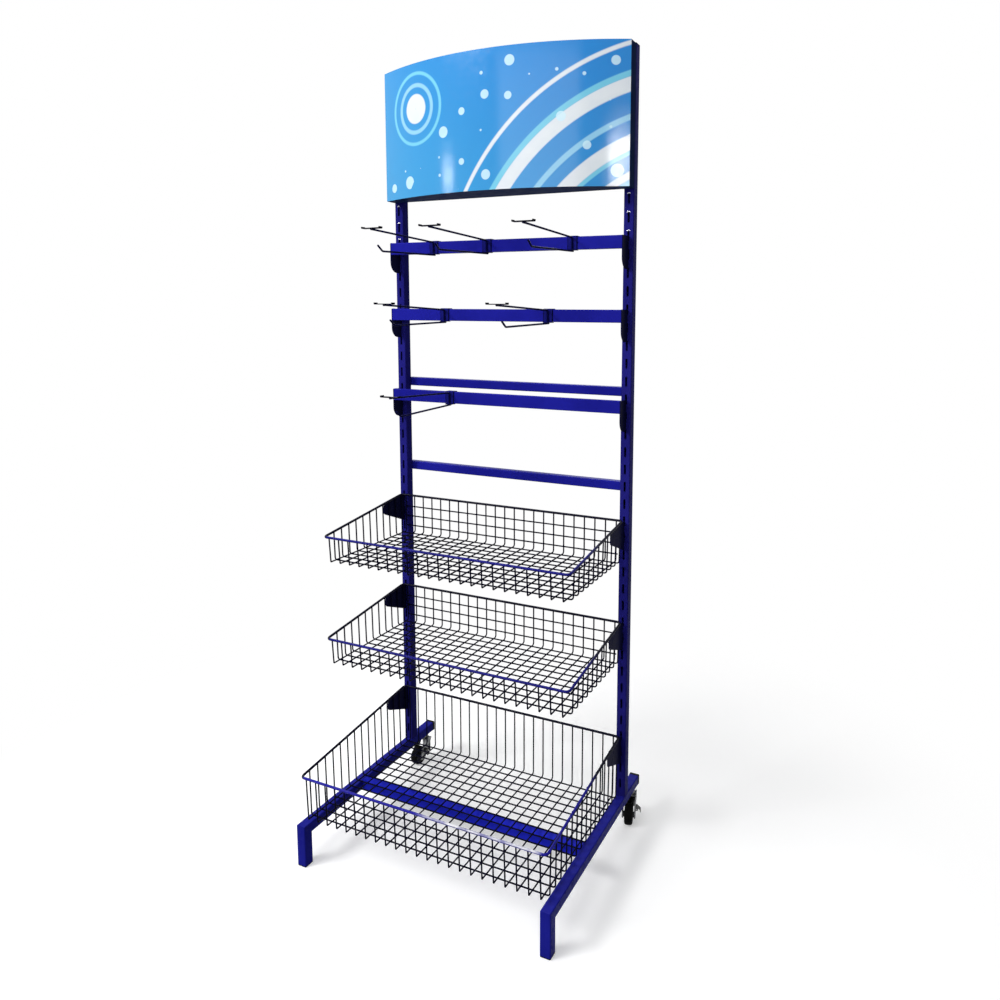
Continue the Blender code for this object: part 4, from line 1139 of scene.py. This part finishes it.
# Lever: barrel on the pin and a strap that curves out and down
def make_lever(x, put):
    body, node = "pedal_", "brake_pedal_"
    pin_x = x - LEVER_OUT
    half = (LEVER_SPAN - FORK_SHEET) / 2 - GAP
    profile = [(LEVER_BORE, -half), (LEVER_BARREL, -half), (LEVER_BARREL, half), (LEVER_BORE, half)]
    profile = [(r, LEVER_Y + w) for r, w in profile]
    barrel = turned(bmesh.new(), profile, "Y", pin_x, LEVER_Z, 28, True)
    put("lever_barrel_", barrel, DULL, body, node, angle=PIN_ANGLE)
    rise = LEVER_Z + (LEVER_BORE + LEVER_BARREL) / 2
    tail_x = pin_x - LEVER_CURVE
    line = [(pin_x, rise), (tail_x, rise), (tail_x, rise - LEVER_CURVE - LEVER_TAIL)]
    strap = bent_sheet(line, LEVER_BEND, FORK_SHEET, 10)
    strap = prism(bmesh.new(), strap, "Y", LEVER_Y - LEVER_WIDTH / 2, LEVER_Y + LEVER_WIDTH / 2)
    put("lever_strap_", strap, DULL, body, node, bevel=LEVER_EDGE)


# Swivel castors with a brake lever beside each fork
def make_castors():
    for label, side in SIDES.items():
        x = side * HALF
        turn = Matrix.Rotation(TURNS[label], 3, "Z")

        def put(name, shape, coat, body, node, slot="zinc", bevel=0.0, angle=PLAIN_ANGLE):
            bmesh.ops.rotate(shape, verts=shape.verts[:], cent=(x, SWIVEL_Y, 0.0), matrix=turn)
            piece(name + label, shape, coat, body + label, [node + label], bevel, angle)

        mount = ["castor_mount_" + label]
        piece("castor_head_" + label, castor_head(x), ZINC, "frame", mount, angle=TURNED_ANGLE)
        make_fork(x, put)
        put("wheel_core_", wheel_core(x), HUB, "wheel_", "wheel_hub_", "hub_plastic", angle=TURNED_ANGLE)
        tread = wheel_ring(x, TYRE_SECTION, 64)
        put("wheel_tread_", tread, RUBBER, "wheel_", "wheel_tyre_", "tyre_rubber", angle=TURNED_ANGLE)
        make_lever(x, put)


# Pale floor that keeps the rack's shadow and fades to plain white farther out
def make_floor():
    shape = bmesh.new()
    shape.faces.new([shape.verts.new((a, b, FLOOR_Z)) for a, b in FLOOR])
    floor = mesh_object("floor", shape)
    n = Nodes(bpy.data.materials.new("pale_floor"))
    n.tree.nodes.remove(n.shader)
    seen = n.seen("Is Camera Ray", "Is Glossy Ray")
    base = n.join("ShaderNodeBsdfDiffuse", n.remap(seen, 0.0, 1.0, FLOOR_DULL, FLOOR_PALE))
    glow = n.join("ShaderNodeEmission", FULL_WHITE, n.times(seen, FLOOR_GLOW))
    near = n.join("ShaderNodeAddShader", base[0], glow[0])
    away = n.join("ShaderNodeVectorMath", n.coords(), operation="LENGTH")["Value"]
    fade = n.remap(away, *FLOOR_FADE, 0.0, 1.0, True)
    far = n.join("ShaderNodeEmission", FULL_WHITE)
    both = n.join("ShaderNodeMixShader", n.times(fade, seen), near[0], far[0])
    n.link(both[0], n.tree.nodes["Material Output"].inputs["Surface"])
    floor.data.materials.append(n.material)


# Soft even light, white where it is seen
def make_world():
    world = bpy.data.worlds.new("studio")
    bpy.context.scene.world = world
    n = Nodes(world)
    seen = n.seen("Is Camera Ray", "Is Glossy Ray", "Is Transmission Ray")
    soft = n.tree.nodes["Background"]
    n.feed(soft.inputs["Color"], SKY_TINT)
    n.feed(soft.inputs["Strength"], SKY)
    white = n.join("ShaderNodeBackground", FULL_WHITE)
    pick = n.join("ShaderNodeMixShader", seen, soft.outputs[0], white[0])
    n.link(pick[0], n.tree.nodes["World Output"].inputs["Surface"])


# Soft boxes round the rack
def make_lamps():
    for name, (place, aim, wide, high, power) in LAMPS.items():
        data = bpy.data.lights.new(name, "AREA")
        data.shape = "RECTANGLE"
        data.size = wide
        data.size_y = high
        data.energy = power
        lamp = add_object(name, data)
        lamp.location = place
        lamp.rotation_mode = "QUATERNION"
        lamp.rotation_quaternion = (Vector(aim) - Vector(place)).to_track_quat("-Z", "Y")


# Camera at the photograph's angle
def make_camera():
    data = bpy.data.cameras.new("camera")
    data.sensor_fit = "HORIZONTAL"
    data.sensor_width = SENSOR
    data.lens = LENS
    data.shift_x, data.shift_y = LENS_SHIFT
    data.clip_start, data.clip_end = LENS_RANGE
    camera = add_object("camera", data)
    level = math.cos(PITCH)
    ahead = Vector((-math.sin(YAW) * level, math.cos(YAW) * level, math.sin(PITCH)))
    right = Vector((math.cos(YAW), math.sin(YAW), 0.0))
    up = right.cross(ahead)
    turned_right = right * math.cos(ROLL) + up * math.sin(ROLL)
    turned_up = up * math.cos(ROLL) - right * math.sin(ROLL)
    pose = Matrix((turned_right, turned_up, -ahead)).transposed().to_4x4()
    pose.translation = Vector(EYE)
    camera.matrix_world = pose
    bpy.context.scene.camera = camera


make_uprights()
make_base()
make_header()
make_bars()
make_baskets()
make_castors()
bpy.context.scene.view_settings.view_transform = "Standard"
make_floor()
make_world()
make_lamps()
make_camera()
